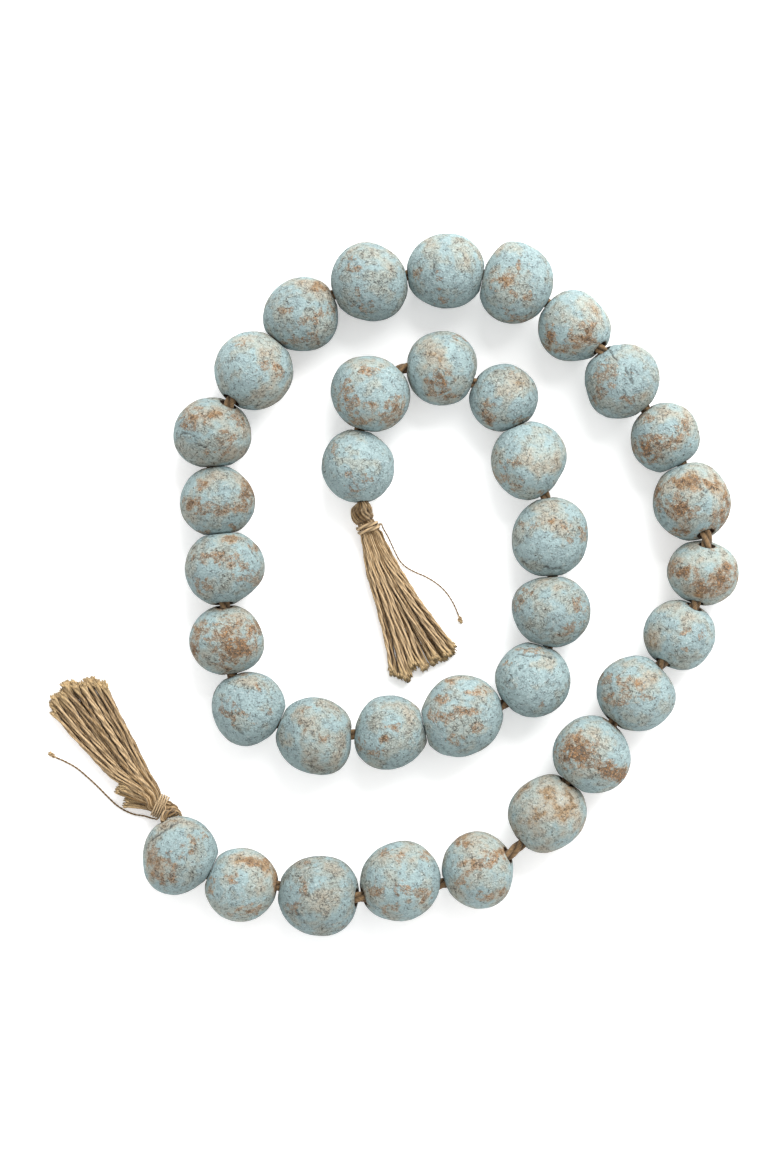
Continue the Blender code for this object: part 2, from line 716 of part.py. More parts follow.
def make_knot(name, row, pieces, material):
    """A small overhand knot at the end of a tie tail, flat where it lies."""
    x, y, half_length, half_width, heading = row
    shape = bmesh.new()
    bmesh.ops.create_icosphere(shape, subdivisions=2, radius=1.0)
    forward = direction(heading)
    left = np.array((-forward[1], forward[0], 0.0))
    for vertex in shape.verts:
        bulge = 1.0 + KNOT_BULGE * math.sin(5.0 * vertex.co.x + 2.0) * math.cos(4.0 * vertex.co.y)
        place = forward * vertex.co.x * half_length * bulge + left * vertex.co.y * half_width * bulge
        height = (max(vertex.co.z * bulge, -KNOT_SEAT) + KNOT_SEAT) * half_width
        vertex.co = (np.array((x, y, height)) + place) * MM
    mesh = bpy.data.meshes.new(name)
    shape.to_mesh(mesh)
    shape.free()
    return add_object(name, mesh, pieces, material)


def main():
    clear_scene()
    pieces = make_collection("Ceramic bead garland")
    cutters = make_collection("Cutters")
    clay = make_material("Washed clay", (0.36, 0.52, 0.54), 0.85)
    jute = make_material("Natural jute yarn", (0.46, 0.33, 0.18), 0.9)
    cord = make_material("Brown jute cord", (0.30, 0.17, 0.07), 0.9)

    beads = plan_beads()
    for bead in beads:
        make_bead(bead, pieces, cutters, clay)
    make_cord(beads, pieces, cord)

    inner_yarns = skirt_routes(INNER_HEAD, INNER_SKIRT, INNER_ENDS)
    make_tassel("tassel_inner", INNER_HEAD, [inner_yarns], [], pieces, cutters, jute)
    outer_yarns = skirt_routes(OUTER_HEAD, OUTER_SKIRT, OUTER_ENDS)
    stem = tube_mesh(smooth_route(OUTER_STEM, LOOP_STEP), STEM_RADIUS, LOOP_SIDES)
    loop = tube_mesh(smooth_route(OUTER_LOOP, LOOP_STEP), LOOP_RADIUS, LOOP_SIDES)
    outer_yarns = [outer_yarns] + stub_routes()
    make_tassel("tassel_outer", OUTER_HEAD, outer_yarns, [stem, loop], pieces, cutters, jute)
    make_binding("binding_inner", INNER_NECK, pieces, jute)
    make_binding("binding_outer", OUTER_NECK, pieces, jute)

    tube("tie_tail_inner", smooth_route(INNER_TAIL, TAIL_STEP), INNER_TAIL_RADIUS, pieces, jute)
    tube("tie_tail_outer", smooth_route(OUTER_TAIL, TAIL_STEP), OUTER_TAIL_RADIUS, pieces, jute)
    make_knot("tie_knot_inner", INNER_KNOT, pieces, jute)
    make_knot("tie_knot_outer", OUTER_KNOT, pieces, jute)


main()
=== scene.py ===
"""The finish of a ceramic bead garland: washed clay beads on a jute cord, a jute tassel at each end.

Laid out as an add-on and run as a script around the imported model. Tables are in millimetres and
degrees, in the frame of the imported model: +X right, +Y up the page, +Z up from the surface.
"""

import math

import bpy
import numpy as np
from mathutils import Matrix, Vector


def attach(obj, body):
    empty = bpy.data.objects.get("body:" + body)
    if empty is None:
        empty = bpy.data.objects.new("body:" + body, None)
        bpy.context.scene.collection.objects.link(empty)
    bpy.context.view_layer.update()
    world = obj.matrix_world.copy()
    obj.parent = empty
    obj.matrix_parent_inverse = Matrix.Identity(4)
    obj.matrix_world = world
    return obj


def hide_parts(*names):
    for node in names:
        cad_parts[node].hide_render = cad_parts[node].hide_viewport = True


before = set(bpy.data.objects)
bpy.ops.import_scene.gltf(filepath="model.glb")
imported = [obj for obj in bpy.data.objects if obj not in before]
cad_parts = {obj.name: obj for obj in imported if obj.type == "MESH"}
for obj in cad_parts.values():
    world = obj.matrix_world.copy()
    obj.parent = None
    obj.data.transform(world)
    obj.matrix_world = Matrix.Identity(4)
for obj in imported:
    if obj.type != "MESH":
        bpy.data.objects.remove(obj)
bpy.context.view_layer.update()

bl_info = {
    "name": "Ceramic Bead Garland",
    "version": (1, 0, 0),
    "blender": (4, 5, 0),
    "location": "View3D > Sidebar > Garland",
    "description": "Builds a strand of washed clay beads with a jute tassel at each end",
    "category": "Add Mesh",
}

MM = 0.001
LATTICE = 32             # corners along each side of a noise's repeating block

# Beads, in a row each: x, y, size along the hole, size across it, and how far outside the line of
# centres the cord runs on to the next bead
BEADS = (
    (-18.5, 62.0, 38.5, 37.5, 3.0),
    (-12.5, 99.5, 39.0, 42.0, 7.5),
    (25.0, 113.0, 37.5, 39.5, 0.5),
    (57.0, 97.5, 35.0, 36.0, 2.0),
    (70.5, 65.0, 40.0, 40.0, 3.0),
    (81.0, 25.0, 42.0, 39.0, 1.0),
    (82.0, -13.5, 38.5, 40.5, 3.0),
    (72.5, -49.5, 38.5, 39.0, 5.0),
    (35.0, -68.0, 44.0, 41.5, 3.0),
    (-2.5, -77.0, 40.5, 39.5, 0.5),
    (-41.0, -78.0, 41.0, 40.0, 2.0),
    (-75.5, -64.0, 38.0, 38.0, 3.5),
    (-87.0, -28.5, 37.0, 39.0, 0.5),
    (-88.0, 8.5, 40.0, 42.0, 1.0),
    (-91.5, 43.5, 38.0, 39.0, 2.0),
    (-94.5, 78.5, 38.0, 41.0, 1.0),
    (-73.0, 111.5, 41.0, 41.0, 2.0),
    (-48.5, 141.0, 41.0, 37.5, 2.0),
    (-13.0, 157.5, 40.0, 41.0, 1.0),
    (27.5, 163.5, 42.0, 39.0, 2.0),
    (63.5, 156.5, 38.0, 42.5, 2.0),
    (94.0, 134.5, 38.5, 38.5, 2.0),
    (118.5, 106.0, 38.0, 40.0, 1.0),
    (141.0, 77.0, 35.5, 37.5, 3.0),
    (155.0, 43.5, 41.0, 41.0, 3.5),
    (161.0, 6.5, 35.0, 37.5, 1.5),
    (148.5, -26.0, 37.5, 37.0, 1.5),
    (125.5, -56.5, 38.5, 41.0, -1.0),
    (102.5, -88.5, 38.5, 42.0, -2.5),
    (80.0, -119.5, 42.0, 39.0, 3.0),
    (44.0, -148.5, 38.0, 40.0, 4.5),
    (3.5, -154.0, 42.0, 41.5, 4.5),
    (-39.0, -161.0, 43.0, 42.0, -1.5),
    (-79.5, -156.0, 38.0, 38.5, 3.0),
    (-111.5, -141.0, 40.0, 40.5, 0.0),
)

# Swellings (+) and pressed places (-) of a bead's outline: direction, height
LUMPS = {
    1: ((52, -1.1), (190, 0.5), (128, 0.7), (300, 0.5)),
    2: ((15, 0.7), (90, -0.5)),
    3: ((90, -0.7), (345, -0.8)),
    4: ((45, -0.4), (5, 0.4)),
    5: ((330, -1.9), (265, 1.0)),
    6: ((37, 1.5), (215, 1.2), (135, -0.9)),
    7: ((105, -1.1), (155, 1.1)),
    8: ((108, 0.6), (180, 0.5)),
    9: ((108, 0.7), (150, -1.2), (240, 0.9)),
    10: ((150, -1.6), (300, -1.2), (180, -1.4)),
    11: ((300, 1.9), (55, -0.8), (28, 0.7), (0, -1.8)),
    12: ((150, 0.9), (255, 1.2), (310, -0.9)),
    13: ((30, -0.9), (330, 0.9)),
    14: ((308, -2.1),),
    15: ((45, -0.9), (200, 0.5), (300, -0.6)),
    16: ((210, 0.6), (265, -0.9), (300, -0.9), (150, -0.5)),
    18: ((7, -0.9), (315, 1.8), (255, -0.6)),
    19: ((60, -0.6), (105, 0.6), (255, -0.6), (315, 1.1)),
    20: ((15, -1.0), (210, 0.5), (330, -0.7)),
    21: ((107, 2.2), (140, -0.8), (68, -0.7)),
    22: ((40, -2.0), (278, -1.3), (135, -0.5)),
    23: ((48, 0.4), (150, 0.8), (195, -0.8), (235, 0.5)),
    24: ((15, -0.8), (180, -0.8), (270, 0.6), (310, -1.0), (340, 0.6)),
    25: ((30, -0.8),),
    26: ((70, -1.2), (240, -0.5)),
    27: ((60, -0.7), (250, -1.2), (285, 0.6), (15, 0.4)),
    28: ((0, 1.1), (30, -0.7), (75, 0.8), (112, -0.8)),
    29: ((75, 1.3), (145, -0.9)),
    30: ((75, 0.6), (165, 1.0), (210, -0.8), (300, -1.2)),
    31: ((85, 0.5), (352, -1.2)),
    32: ((215, 1.3), (320, -0.6), (75, 0.5), (118, -0.4)),
    33: ((300, 1.1), (100, -0.9), (345, -0.9)),
    34: ((15, 0.4), (322, -0.4)),
    35: ((90, 0.6), (233, 1.1), (180, -1.0), (305, -1.9)),
}

# Where a hole opens so high that its mouth and the cord show from above. After the bead before the
# gap: the rise over the usual height of its own mouth, and of the next bead's
HIGH_MOUTHS = {
    13: (3.5, 5.5),
    16: (7.0, 5.0),
    22: (6.0, 3.5),
    25: (9.0, 9.0),
    26: (3.0, 6.0),
    27: (4.0, 2.0),
    28: (3.0, 2.0),
    29: (1.5, 4.0),
    30: (1.0, 6.0),
    32: (4.0, 6.0),
}

# The beads' plan
FIRST_EXIT = -83.0       # degrees: the side of the first bead where the strand begins
LAST_EXIT = 114.0        # degrees: the side of the last bead where it ends
BEAD_GAP = 0.12          # between neighbouring beads
BEAD_FOOT = 0.8          # how much of a bead's lowest point is worn to a flat
BEAD_FLATTENING = 0.97   # height over width
BEAD_UNEVENNESS = 0.3    # each of the slow swellings of a hand-rolled ball
BEAD_SOFTNESS = 0.5      # how softly a pressed end rounds off
LUMP_WIDTH = 30.0        # degrees
HOLE_RADIUS = 3.7
MOUTH_DEPTH = 4.5        # the pierced hole widens over this depth
MOUTH_FLARE = 0.4        # how much, for each millimetre
CORD_LEVEL = 18.7        # the cord's usual height above the surface
HOLE_DRIFT = 0.35        # how far the holes follow their beads' middles from that height

# The cord
CORD_RADIUS = 3.0
CORD_STRAIGHT = 3.2      # the cord runs straight in a hole to this far from the mouth
CORD_END = 1.0           # how far inside the end beads the cord stops
CORD_STEP = 1.6          # between its sections
GAP = 0.3                # between pieces that touch on the real garland

# The fine beads' own grid and relief
BEAD_COLUMNS = 120       # around the hole
BEAD_ROWS = 66           # from mouth to mouth over the outside
MOUTH_ANGLE = 0.235      # from the hole's axis to the first row, in radians

# Rings inside a hole: how deep each lies, and how far it has gone from the rim's shape to a circle
HOLE_RINGS = ((0.5, 0.15), (1.2, 0.4), (2.4, 0.7), (4.0, 0.9), (6.0, 1.0))

SWELLINGS = ((9.0, 0.22), (4.2, 0.12), (2.1, 0.07))   # size, height of each layer of unevenness
PITS = 34                # small sunken pits in each bead
PIT_RADIUS = (0.7, 1.3)
PIT_DEPTH = (0.12, 0.34)
CRACK_WIDTH = 0.34
CRACK_DEPTH = 0.6
CRACK_WANDER = (1.8, 0.03)   # size and reach of the unevenness of a crack's run
WEAR_DEPTH = 0.12        # how deep a worn patch lies
PATCH_SPREAD = 1.45      # how far the worn patches, and the chalk and highlight patches, reach past their tables
RIM_WEAR = (1.6, 0.5)    # width and strength of the worn ring round a mouth
INNER_WEAR = 1.2         # how worn the inside of a hole is

# Patches on the side of a bead that the camera doesn't see: how many, and their reach
HIDDEN_WORN = (16, (0.16, 0.34))
HIDDEN_CHALKED = (6, (0.3, 0.6))

# Where the wash is rubbed through to the clay, on the disc of the bead that faces up: across, up,
# reach across and reach up, as shares of the bead's radius
WORN = {
    1: ((-0.31, -0.22, 0.14, 0.08), (0.25, -0.33, 0.18, 0.12), (-0.14, -0.58, 0.2, 0.12),
        (-0.68, 0.45, 0.1, 0.16)),
    2: ((0.54, -0.44, 0.26, 0.3), (-0.05, 0.6, 0.2, 0.1), (-0.57, 0.08, 0.14, 0.2),
        (-0.64, -0.31, 0.16, 0.14), (-0.11, -0.31, 0.22, 0.1), (-0.38, -0.7, 0.2, 0.1)),
    3: ((0.02, -0.26, 0.2, 0.16), (-0.26, -0.37, 0.16, 0.1), (-0.16, -0.65, 0.16, 0.1),
        (0.23, -0.75, 0.14, 0.1), (0.55, 0.8, 0.2, 0.08)),
    4: ((-0.45, -0.27, 0.17, 0.22), (0.36, 0.76, 0.14, 0.08), (0.5, -0.66, 0.22, 0.08),
        (-0.4, -0.69, 0.12, 0.1)),
    5: ((-0.83, -0.14, 0.1, 0.3), (-0.41, 0.02, 0.2, 0.16), (0.36, -0.85, 0.2, 0.08),
        (-0.5, -0.6, 0.24, 0.18)),
    6: ((-0.67, 0.35, 0.14, 0.14), (0.62, 0.19, 0.16, 0.12), (0.57, -0.09, 0.14, 0.1),
        (0.9, 0.05, 0.08, 0.2), (-0.05, 0.35, 0.3, 0.12)),
    7: ((-0.83, 0.2, 0.1, 0.16), (0.72, 0.17, 0.14, 0.14), (0.6, -0.3, 0.2, 0.07),
        (0.38, -0.57, 0.14, 0.1), (-0.62, 0.49, 0.1, 0.1)),
    8: ((-0.36, 0.77, 0.14, 0.08), (-0.05, 0.74, 0.16, 0.07), (0.21, 0.78, 0.16, 0.08),
        (-0.69, 0.45, 0.12, 0.1), (0.24, -0.69, 0.12, 0.08)),
    9: ((-0.35, 0.85, 0.2, 0.06), (0.4, 0.6, 0.24, 0.08), (-0.46, 0.43, 0.16, 0.1),
        (-0.58, 0.05, 0.16, 0.12), (-0.35, -0.06, 0.14, 0.1), (0.0, 0.15, 0.14, 0.1),
        (0.25, 0.1, 0.14, 0.08), (0.4, -0.3, 0.16, 0.1), (-0.2, -0.57, 0.18, 0.1)),
    10: ((0.1, 0.19, 0.14, 0.12), (-0.13, -0.18, 0.1, 0.08), (-0.76, -0.3, 0.1, 0.12),
         (-0.3, -0.49, 0.14, 0.1)),
    11: ((-0.11, 0.64, 0.2, 0.1), (-0.3, 0.2, 0.14, 0.1), (0.2, -0.1, 0.12, 0.1)),
    12: ((-0.55, 0.08, 0.2, 0.2), (0.19, 0.55, 0.18, 0.12), (0.53, -0.07, 0.16, 0.12),
         (-0.26, -0.16, 0.16, 0.1), (-0.46, -0.37, 0.16, 0.1), (-0.06, -0.4, 0.2, 0.1),
         (-0.7, -0.2, 0.1, 0.14), (0.0, 0.92, 0.24, 0.06)),
    13: ((0.09, -0.08, 0.3, 0.5), (0.46, -0.25, 0.16, 0.14), (-0.63, 0.27, 0.16, 0.16),
         (-0.85, -0.28, 0.08, 0.2), (0.78, 0.29, 0.12, 0.16)),
    14: ((-0.24, 0.32, 0.4, 0.12), (0.27, 0.06, 0.2, 0.1), (0.46, -0.19, 0.2, 0.1),
         (-0.52, -0.41, 0.2, 0.14), (0.84, -0.38, 0.1, 0.2), (0.05, 0.8, 0.2, 0.1),
         (0.75, 0.57, 0.12, 0.1)),
    15: ((0.8, 0.29, 0.18, 0.24), (0.66, -0.08, 0.16, 0.14), (-0.72, 0.0, 0.14, 0.12),
         (-0.42, -0.18, 0.2, 0.12), (0.09, -0.25, 0.2, 0.12), (-0.45, 0.49, 0.14, 0.12),
         (-0.38, -0.82, 0.14, 0.06), (0.42, -0.76, 0.14, 0.08)),
    16: ((-0.46, 0.54, 0.2, 0.16), (-0.66, 0.29, 0.16, 0.14), (-0.43, 0.22, 0.14, 0.1),
         (0.15, 0.52, 0.16, 0.14), (0.69, 0.43, 0.14, 0.16), (0.4, -0.1, 0.22, 0.14),
         (0.1, -0.5, 0.2, 0.12)),
    17: ((-0.3, 0.65, 0.16, 0.1), (0.3, 0.1, 0.24, 0.14), (0.63, -0.04, 0.14, 0.14)),
    18: ((0.48, 0.73, 0.18, 0.1), (0.5, -0.02, 0.16, 0.12), (0.8, 0.11, 0.1, 0.16),
         (0.18, -0.21, 0.18, 0.12), (0.18, -0.64, 0.28, 0.16), (-0.37, -0.77, 0.18, 0.08),
         (-0.4, 0.11, 0.14, 0.1)),
    19: ((-0.31, -0.24, 0.07, 0.07), (-0.39, 0.41, 0.14, 0.16), (-0.1, -0.6, 0.24, 0.12)),
    20: ((0.46, 0.18, 0.1, 0.06), (-0.72, -0.1, 0.12, 0.16), (-0.2, -0.4, 0.1, 0.3),
         (0.0, -0.8, 0.2, 0.08)),
    21: ((0.06, 0.42, 0.06, 0.2), (0.35, 0.37, 0.08, 0.12), (-0.44, 0.1, 0.24, 0.2),
         (-0.12, 0.13, 0.12, 0.1), (-0.12, -0.29, 0.18, 0.1), (0.35, -0.31, 0.14, 0.12),
         (-0.17, -0.65, 0.14, 0.1), (0.14, -0.89, 0.5, 0.08)),
    22: ((-0.64, -0.15, 0.12, 0.2), (-0.71, -0.47, 0.1, 0.16), (-0.22, -0.59, 0.22, 0.16),
         (-0.07, -0.2, 0.09, 0.12), (0.29, -0.37, 0.16, 0.12), (0.37, -0.05, 0.18, 0.2),
         (-0.27, 0.1, 0.05, 0.05)),
    23: ((-0.62, -0.03, 0.14, 0.35), (-0.71, -0.5, 0.12, 0.14), (-0.34, 0.42, 0.16, 0.14),
         (-0.3, -0.05, 0.14, 0.18), (0.17, 0.22, 0.14, 0.06), (0.16, -0.48, 0.24, 0.1)),
    24: ((-0.12, -0.15, 0.5, 0.16), (-0.59, -0.35, 0.2, 0.14), (-0.49, 0.58, 0.16, 0.1),
         (0.5, 0.32, 0.14, 0.14), (-0.32, -0.58, 0.2, 0.12)),
    25: ((0.0, 0.47, 0.42, 0.12), (-0.89, 0.18, 0.08, 0.2), (-0.4, -0.1, 0.22, 0.16),
         (-0.14, -0.23, 0.2, 0.12), (-0.27, -0.75, 0.2, 0.1), (0.7, -0.5, 0.16, 0.2),
         (0.89, 0.0, 0.08, 0.24)),
    26: ((-0.77, 0.1, 0.14, 0.2), (-0.44, 0.03, 0.18, 0.14), (-0.1, -0.37, 0.2, 0.14),
         (0.57, -0.1, 0.26, 0.2), (0.4, -0.41, 0.22, 0.14), (0.74, 0.1, 0.14, 0.14),
         (0.03, -0.64, 0.2, 0.1)),
    27: ((0.12, 0.1, 0.14, 0.1), (0.6, 0.0, 0.12, 0.12), (0.15, -0.36, 0.14, 0.08)),
    28: ((-0.55, 0.38, 0.18, 0.12), (-0.88, 0.33, 0.08, 0.14), (-0.09, 0.33, 0.16, 0.1),
         (0.0, 0.13, 0.18, 0.08), (-0.61, -0.16, 0.18, 0.12), (-0.25, -0.13, 0.18, 0.1),
         (0.24, -0.13, 0.18, 0.08)),
    29: ((-0.37, 0.05, 0.28, 0.27), (0.42, -0.35, 0.19, 0.14), (0.8, -0.55, 0.11, 0.17)),
    30: ((0.19, 0.46, 0.16, 0.1), (0.5, -0.3, 0.16, 0.1), (-0.41, -0.28, 0.12, 0.08),
         (0.3, 0.05, 0.3, 0.12)),
    31: ((-0.46, 0.7, 0.18, 0.1), (0.46, 0.42, 0.2, 0.14), (0.2, 0.17, 0.24, 0.08),
         (-0.28, 0.08, 0.2, 0.12), (-0.4, -0.32, 0.18, 0.12), (0.15, -0.66, 0.2, 0.1),
         (0.7, -0.6, 0.14, 0.12)),
    32: ((0.15, -0.25, 0.22, 0.2), (0.59, -0.34, 0.16, 0.14), (-0.62, -0.22, 0.16, 0.14),
         (-0.3, -0.69, 0.2, 0.1), (-0.36, 0.71, 0.16, 0.08), (0.0, 0.58, 0.08, 0.16),
         (0.62, 0.61, 0.16, 0.1)),
    33: ((-0.34, 0.22, 0.24, 0.18), (-0.29, 0.84, 0.2, 0.06), (-0.6, -0.3, 0.16, 0.12),
         (0.57, -0.72, 0.18, 0.1)),
    34: ((0.22, 0.58, 0.18, 0.12), (0.64, 0.54, 0.14, 0.12), (-0.3, 0.17, 0.18, 0.12),
         (0.17, -0.66, 0.34, 0.12), (-0.81, -0.07, 0.1, 0.2), (0.94, 0.05, 0.06, 0.24)),
    35: ((-0.7, 0.1, 0.14, 0.14), (-0.73, -0.27, 0.12, 0.2), (-0.42, -0.15, 0.18, 0.14),
         (-0.25, -0.24, 0.16, 0.1), (-0.25, -0.58, 0.22, 0.14), (0.09, 0.1, 0.16, 0.14),
         (0.34, 0.35, 0.14, 0.14), (0.62, 0.52, 0.14, 0.12)),
}

# Where chalky beige lies over the wash, in the same four columns. The wide thin bands near the top of many
# discs, on the side towards the key light, are painted highlight
CHALK_AND_HIGHLIGHT = {
    1: ((-0.07, 0.1, 0.4, 0.12), (0.1, 0.7, 0.6, 0.2)),
    2: ((0.0, 0.8, 0.5, 0.15),),
    3: ((-0.12, 0.2, 0.26, 0.26), (-0.5, 0.6, 0.3, 0.2)),
    4: ((-0.09, 0.16, 0.25, 0.1), (0.4, 0.3, 0.3, 0.3)),
    5: ((0.2, 0.13, 0.3, 0.3), (0.7, 0.2, 0.2, 0.5)),
    6: ((-0.05, 0.35, 0.45, 0.2), (0.0, 0.8, 0.5, 0.15)),
    7: ((0.0, 0.75, 0.5, 0.2),),
    8: ((0.0, 0.42, 0.3, 0.1), (0.43, 0.45, 0.2, 0.1), (0.0, 0.8, 0.5, 0.12)),
    9: ((-0.3, 0.85, 0.4, 0.1), (0.4, 0.6, 0.3, 0.12)),
    10: ((-0.33, 0.74, 0.3, 0.15), (0.53, 0.53, 0.25, 0.2)),
    11: ((0.0, 0.3, 0.8, 0.6), (0.2, -0.4, 0.5, 0.3)),
    12: ((0.0, 0.8, 0.5, 0.15),),
    13: ((0.4, 0.76, 0.3, 0.12),),
    14: ((0.1, 0.8, 0.4, 0.12),),
    15: ((0.6, 0.6, 0.3, 0.3), (-0.3, 0.6, 0.3, 0.2)),
    16: ((-0.3, 0.6, 0.5, 0.3), (0.6, 0.1, 0.3, 0.6), (0.3, -0.6, 0.5, 0.2)),
    17: ((0.35, 0.6, 0.3, 0.2), (0.5, -0.5, 0.3, 0.3), (-0.2, 0.8, 0.5, 0.12)),
    18: ((-0.14, 0.86, 0.4, 0.1), (0.5, 0.6, 0.3, 0.2)),
    19: ((0.46, 0.5, 0.3, 0.2), (0.0, 0.8, 0.5, 0.15)),
    20: ((0.5, 0.5, 0.4, 0.3), (-0.4, 0.7, 0.3, 0.2)),
    21: ((-0.2, 0.85, 0.4, 0.1), (-0.4, 0.2, 0.3, 0.2)),
    22: ((0.4, 0.6, 0.45, 0.3),),
    23: ((0.66, -0.53, 0.2, 0.2), (0.5, 0.7, 0.4, 0.25)),
    24: ((0.3, 0.7, 0.4, 0.2),),
    25: ((0.0, 0.6, 0.6, 0.25), (0.7, 0.2, 0.2, 0.4)),
    26: ((-0.13, 0.47, 0.3, 0.2), (0.03, -0.64, 0.3, 0.15)),
    27: ((-0.7, -0.2, 0.2, 0.3), (-0.4, 0.75, 0.35, 0.15), (0.3, 0.6, 0.4, 0.25)),
    28: ((0.4, 0.39, 0.3, 0.2), (-0.3, 0.8, 0.5, 0.12)),
    29: ((-0.3, 0.56, 0.4, 0.2),),
    30: ((0.0, 0.2, 0.7, 0.6), (0.19, 0.46, 0.3, 0.2)),
    31: ((0.46, 0.5, 0.3, 0.2), (-0.2, 0.8, 0.4, 0.12)),
    32: ((0.3, 0.7, 0.5, 0.2),),
    33: ((0.35, 0.49, 0.25, 0.2), (-0.2, 0.8, 0.6, 0.15), (0.2, -0.3, 0.6, 0.4)),
    34: ((0.3, 0.65, 0.5, 0.2), (0.8, 0.1, 0.15, 0.5)),
    35: ((-0.2, 0.85, 0.5, 0.12), (-0.7, -0.1, 0.2, 0.5)),
}

# One row for each bead: how strongly its worn patches show, the haze over the whole bead, and how
# much lighter or darker it is than the rest
BEAD_FINISHES = (
    (0.5, -0.14, 0.05),
    (0.95, -0.01, 0.04),
    (1.05, 0.02, 0.01),
    (0.8, 0.0, -0.05),
    (0.5, -0.02, 0.06),
    (0.45, -0.04, -0.02),
    (0.9, 0.0, -0.08),
    (0.5, -0.12, 0.08),
    (0.8, -0.04, 0.04),
    (0.9, 0.0, -0.03),
    (0.5, -0.1, -0.07),
    (0.45, -0.08, -0.06),
    (1.3, 0.09, -0.07),
    (0.9, 0.02, -0.11),
    (1.0, 0.08, -0.14),
    (0.7, 0.0, -0.17),
    (0.55, 0.0, -0.04),
    (0.7, 0.02, -0.14),
    (0.7, -0.05, -0.14),
    (0.5, -0.11, -0.03),
    (0.55, -0.04, -0.04),
    (0.95, 0.04, 0.01),
    (0.55, 0.0, -0.1),
    (1.15, 0.03, -0.07),
    (1.2, 0.06, -0.06),
    (1.15, 0.13, 0.01),
    (0.5, 0.0, 0.0),
    (0.7, -0.02, 0.0),
    (2.2, 0.0, 0.03),
    (0.15, 0.13, -0.03),
    (0.8, 0.1, 0.01),
    (0.7, 0.03, 0.01),
    (0.55, -0.08, -0.15),
    (0.8, 0.07, 0.05),
    (0.55, 0.0, -0.1),
)

# Cracks and ledges, each a run of points on the same disc
CRACKS = {
    6: (((-0.15, -0.72), (0.05, -0.78), (0.28, -0.76)),),
    8: (((-0.38, 0.66), (-0.1, 0.62), (0.2, 0.66), (0.52, 0.62)),),
    16: (((-0.78, -0.02), (-0.6, 0.02), (-0.42, -0.1)), ((-0.42, -0.26), (-0.2, -0.38))),
    20: (((-0.28, 0.3), (-0.32, 0.16), (-0.3, 0.02), (-0.36, -0.1)),),
    23: (((-0.34, 0.82), (-0.05, 0.43)), ((0.11, 0.33), (0.28, -0.07), (0.25, 0.33))),
    25: (((0.2, 0.42), (0.36, 0.2), (0.5, 0.36)),),
    33: (((0.24, 0.36), (0.36, 0.46), (0.46, 0.56)), ((-0.55, -0.42), (-0.4, -0.5))),
    35: (((-0.8, 0.38), (-0.6, 0.5), (-0.32, 0.69), (-0.06, 0.84)),),
}

# Tassel heads, from the bead to the bell that the yarns leave: x, y, z, half width, half height
INNER_HEAD = (
    (-16.2, 43.4, 18.3, 3.0, 3.0),
    (-15.9, 41.2, 16.8, 4.4, 4.2),
    (-16.8, 38.6, 13.0, 6.3, 5.8),
    (-16.4, 36.2, 10.2, 6.1, 5.7),
    (-15.5, 34.0, 7.9, 5.4, 5.2),
    (-15.0, 33.0, 7.0, 4.2, 4.2),
    (-12.3, 26.8, 6.7, 5.2, 4.5),
    (-11.9, 25.9, 6.4, 5.9, 4.7),
    (-9.9, 21.2, 5.8, 6.9, 4.9),
)
OUTER_HEAD = (
    (-113.4, -118.8, 7.9, 2.4, 2.4),
    (-114.6, -118.8, 7.9, 3.7, 3.7),
    (-116.6, -118.5, 7.5, 4.5, 4.5),
    (-118.1, -117.8, 6.9, 4.2, 4.2),
    (-124.5, -115.3, 6.7, 4.2, 4.2),
    (-125.8, -114.2, 6.4, 5.0, 4.6),
    (-128.2, -110.9, 5.8, 7.2, 4.9),
)
OUTER_STEM = (
    (-119.3, -122.8, 18.8),
    (-120.2, -121.5, 18.6),
    (-119.0, -119.4, 16.8),
    (-116.0, -118.7, 13.2),
    (-115.7, -118.4, 9.5),
)
OUTER_LOOP = (
    (-118.0, -118.6, 9.6),
    (-116.2, -117.4, 10.4),
    (-113.8, -117.9, 9.8),
    (-111.9, -120.2, 8.0),
    (-112.0, -122.2, 5.6),
    (-113.8, -122.5, 4.3),
    (-116.2, -121.0, 4.6),
)

# Skirts on the floor: distance from the neck, and the sideways reach of each edge
INNER_SKIRT = (
    (0.0, -6.3, 6.2),
    (17.0, -10.8, 7.6),
    (39.5, -13.2, 10.4),
    (57.0, -15.8, 14.0),
    (77.0, -20.4, 19.2),
)
OUTER_SKIRT = (
    (0.0, -6.2, 3.8),
    (7.0, -7.2, 4.3),
    (19.0, -8.6, 9.2),
    (27.0, -10.0, 12.2),
    (52.0, -13.0, 14.6),
    (75.0, -17.2, 16.6),
)

# Where the yarns end, across the skirt from one side to the other
INNER_ENDS = ((-1.0, 73.5), (-0.6, 76.5), (-0.3, 74.5), (0.25, 76.0), (0.6, 75.5), (1.0, 73.0))
OUTER_ENDS = ((-1.0, 69.0), (-0.45, 75.0), (0.05, 79.0), (0.6, 77.5), (1.0, 73.0))

# Yarns in each layer of a skirt, lowest first
SKIRT_LAYERS = (22, 18, 13, 10)

# Tassels: side, head, how many of its sections the head yarns pass, how many there are, how far they
# lean round it in radians, skirt and ends
TASSELS = (
    ("inner", INNER_HEAD, 7, 14, 0.8, INNER_SKIRT, INNER_ENDS),
    ("outer", OUTER_HEAD, 5, 10, 0.7, OUTER_SKIRT, OUTER_ENDS),
)
TASSEL_SEEDS = {"inner": 21, "outer": 22}

# The outer tassel's short cut ends: x, y, z of the root and of the end
STUBS = (
    (-123.6, -116.2, 6.4, -143.2, -106.4, 7.4),
    (-123.2, -117.4, 4.6, -139.6, -113.4, 4.0),
)

# Places of a stub's yarns in its bundle: across it and up
STUB_PLACES = ((-2.3, 0.2), (-0.8, 0.9), (0.8, 0.9), (2.3, 0.2), (-1.5, -1.1), (0.0, -0.9), (1.5, -1.1))

# The outer tassel's stem and loop: route, how far its yarns lie from the middle, and how many there are
LOOPS = (
    (OUTER_STEM, 1.3, 4),
    (OUTER_LOOP, 0.8, 2),
)

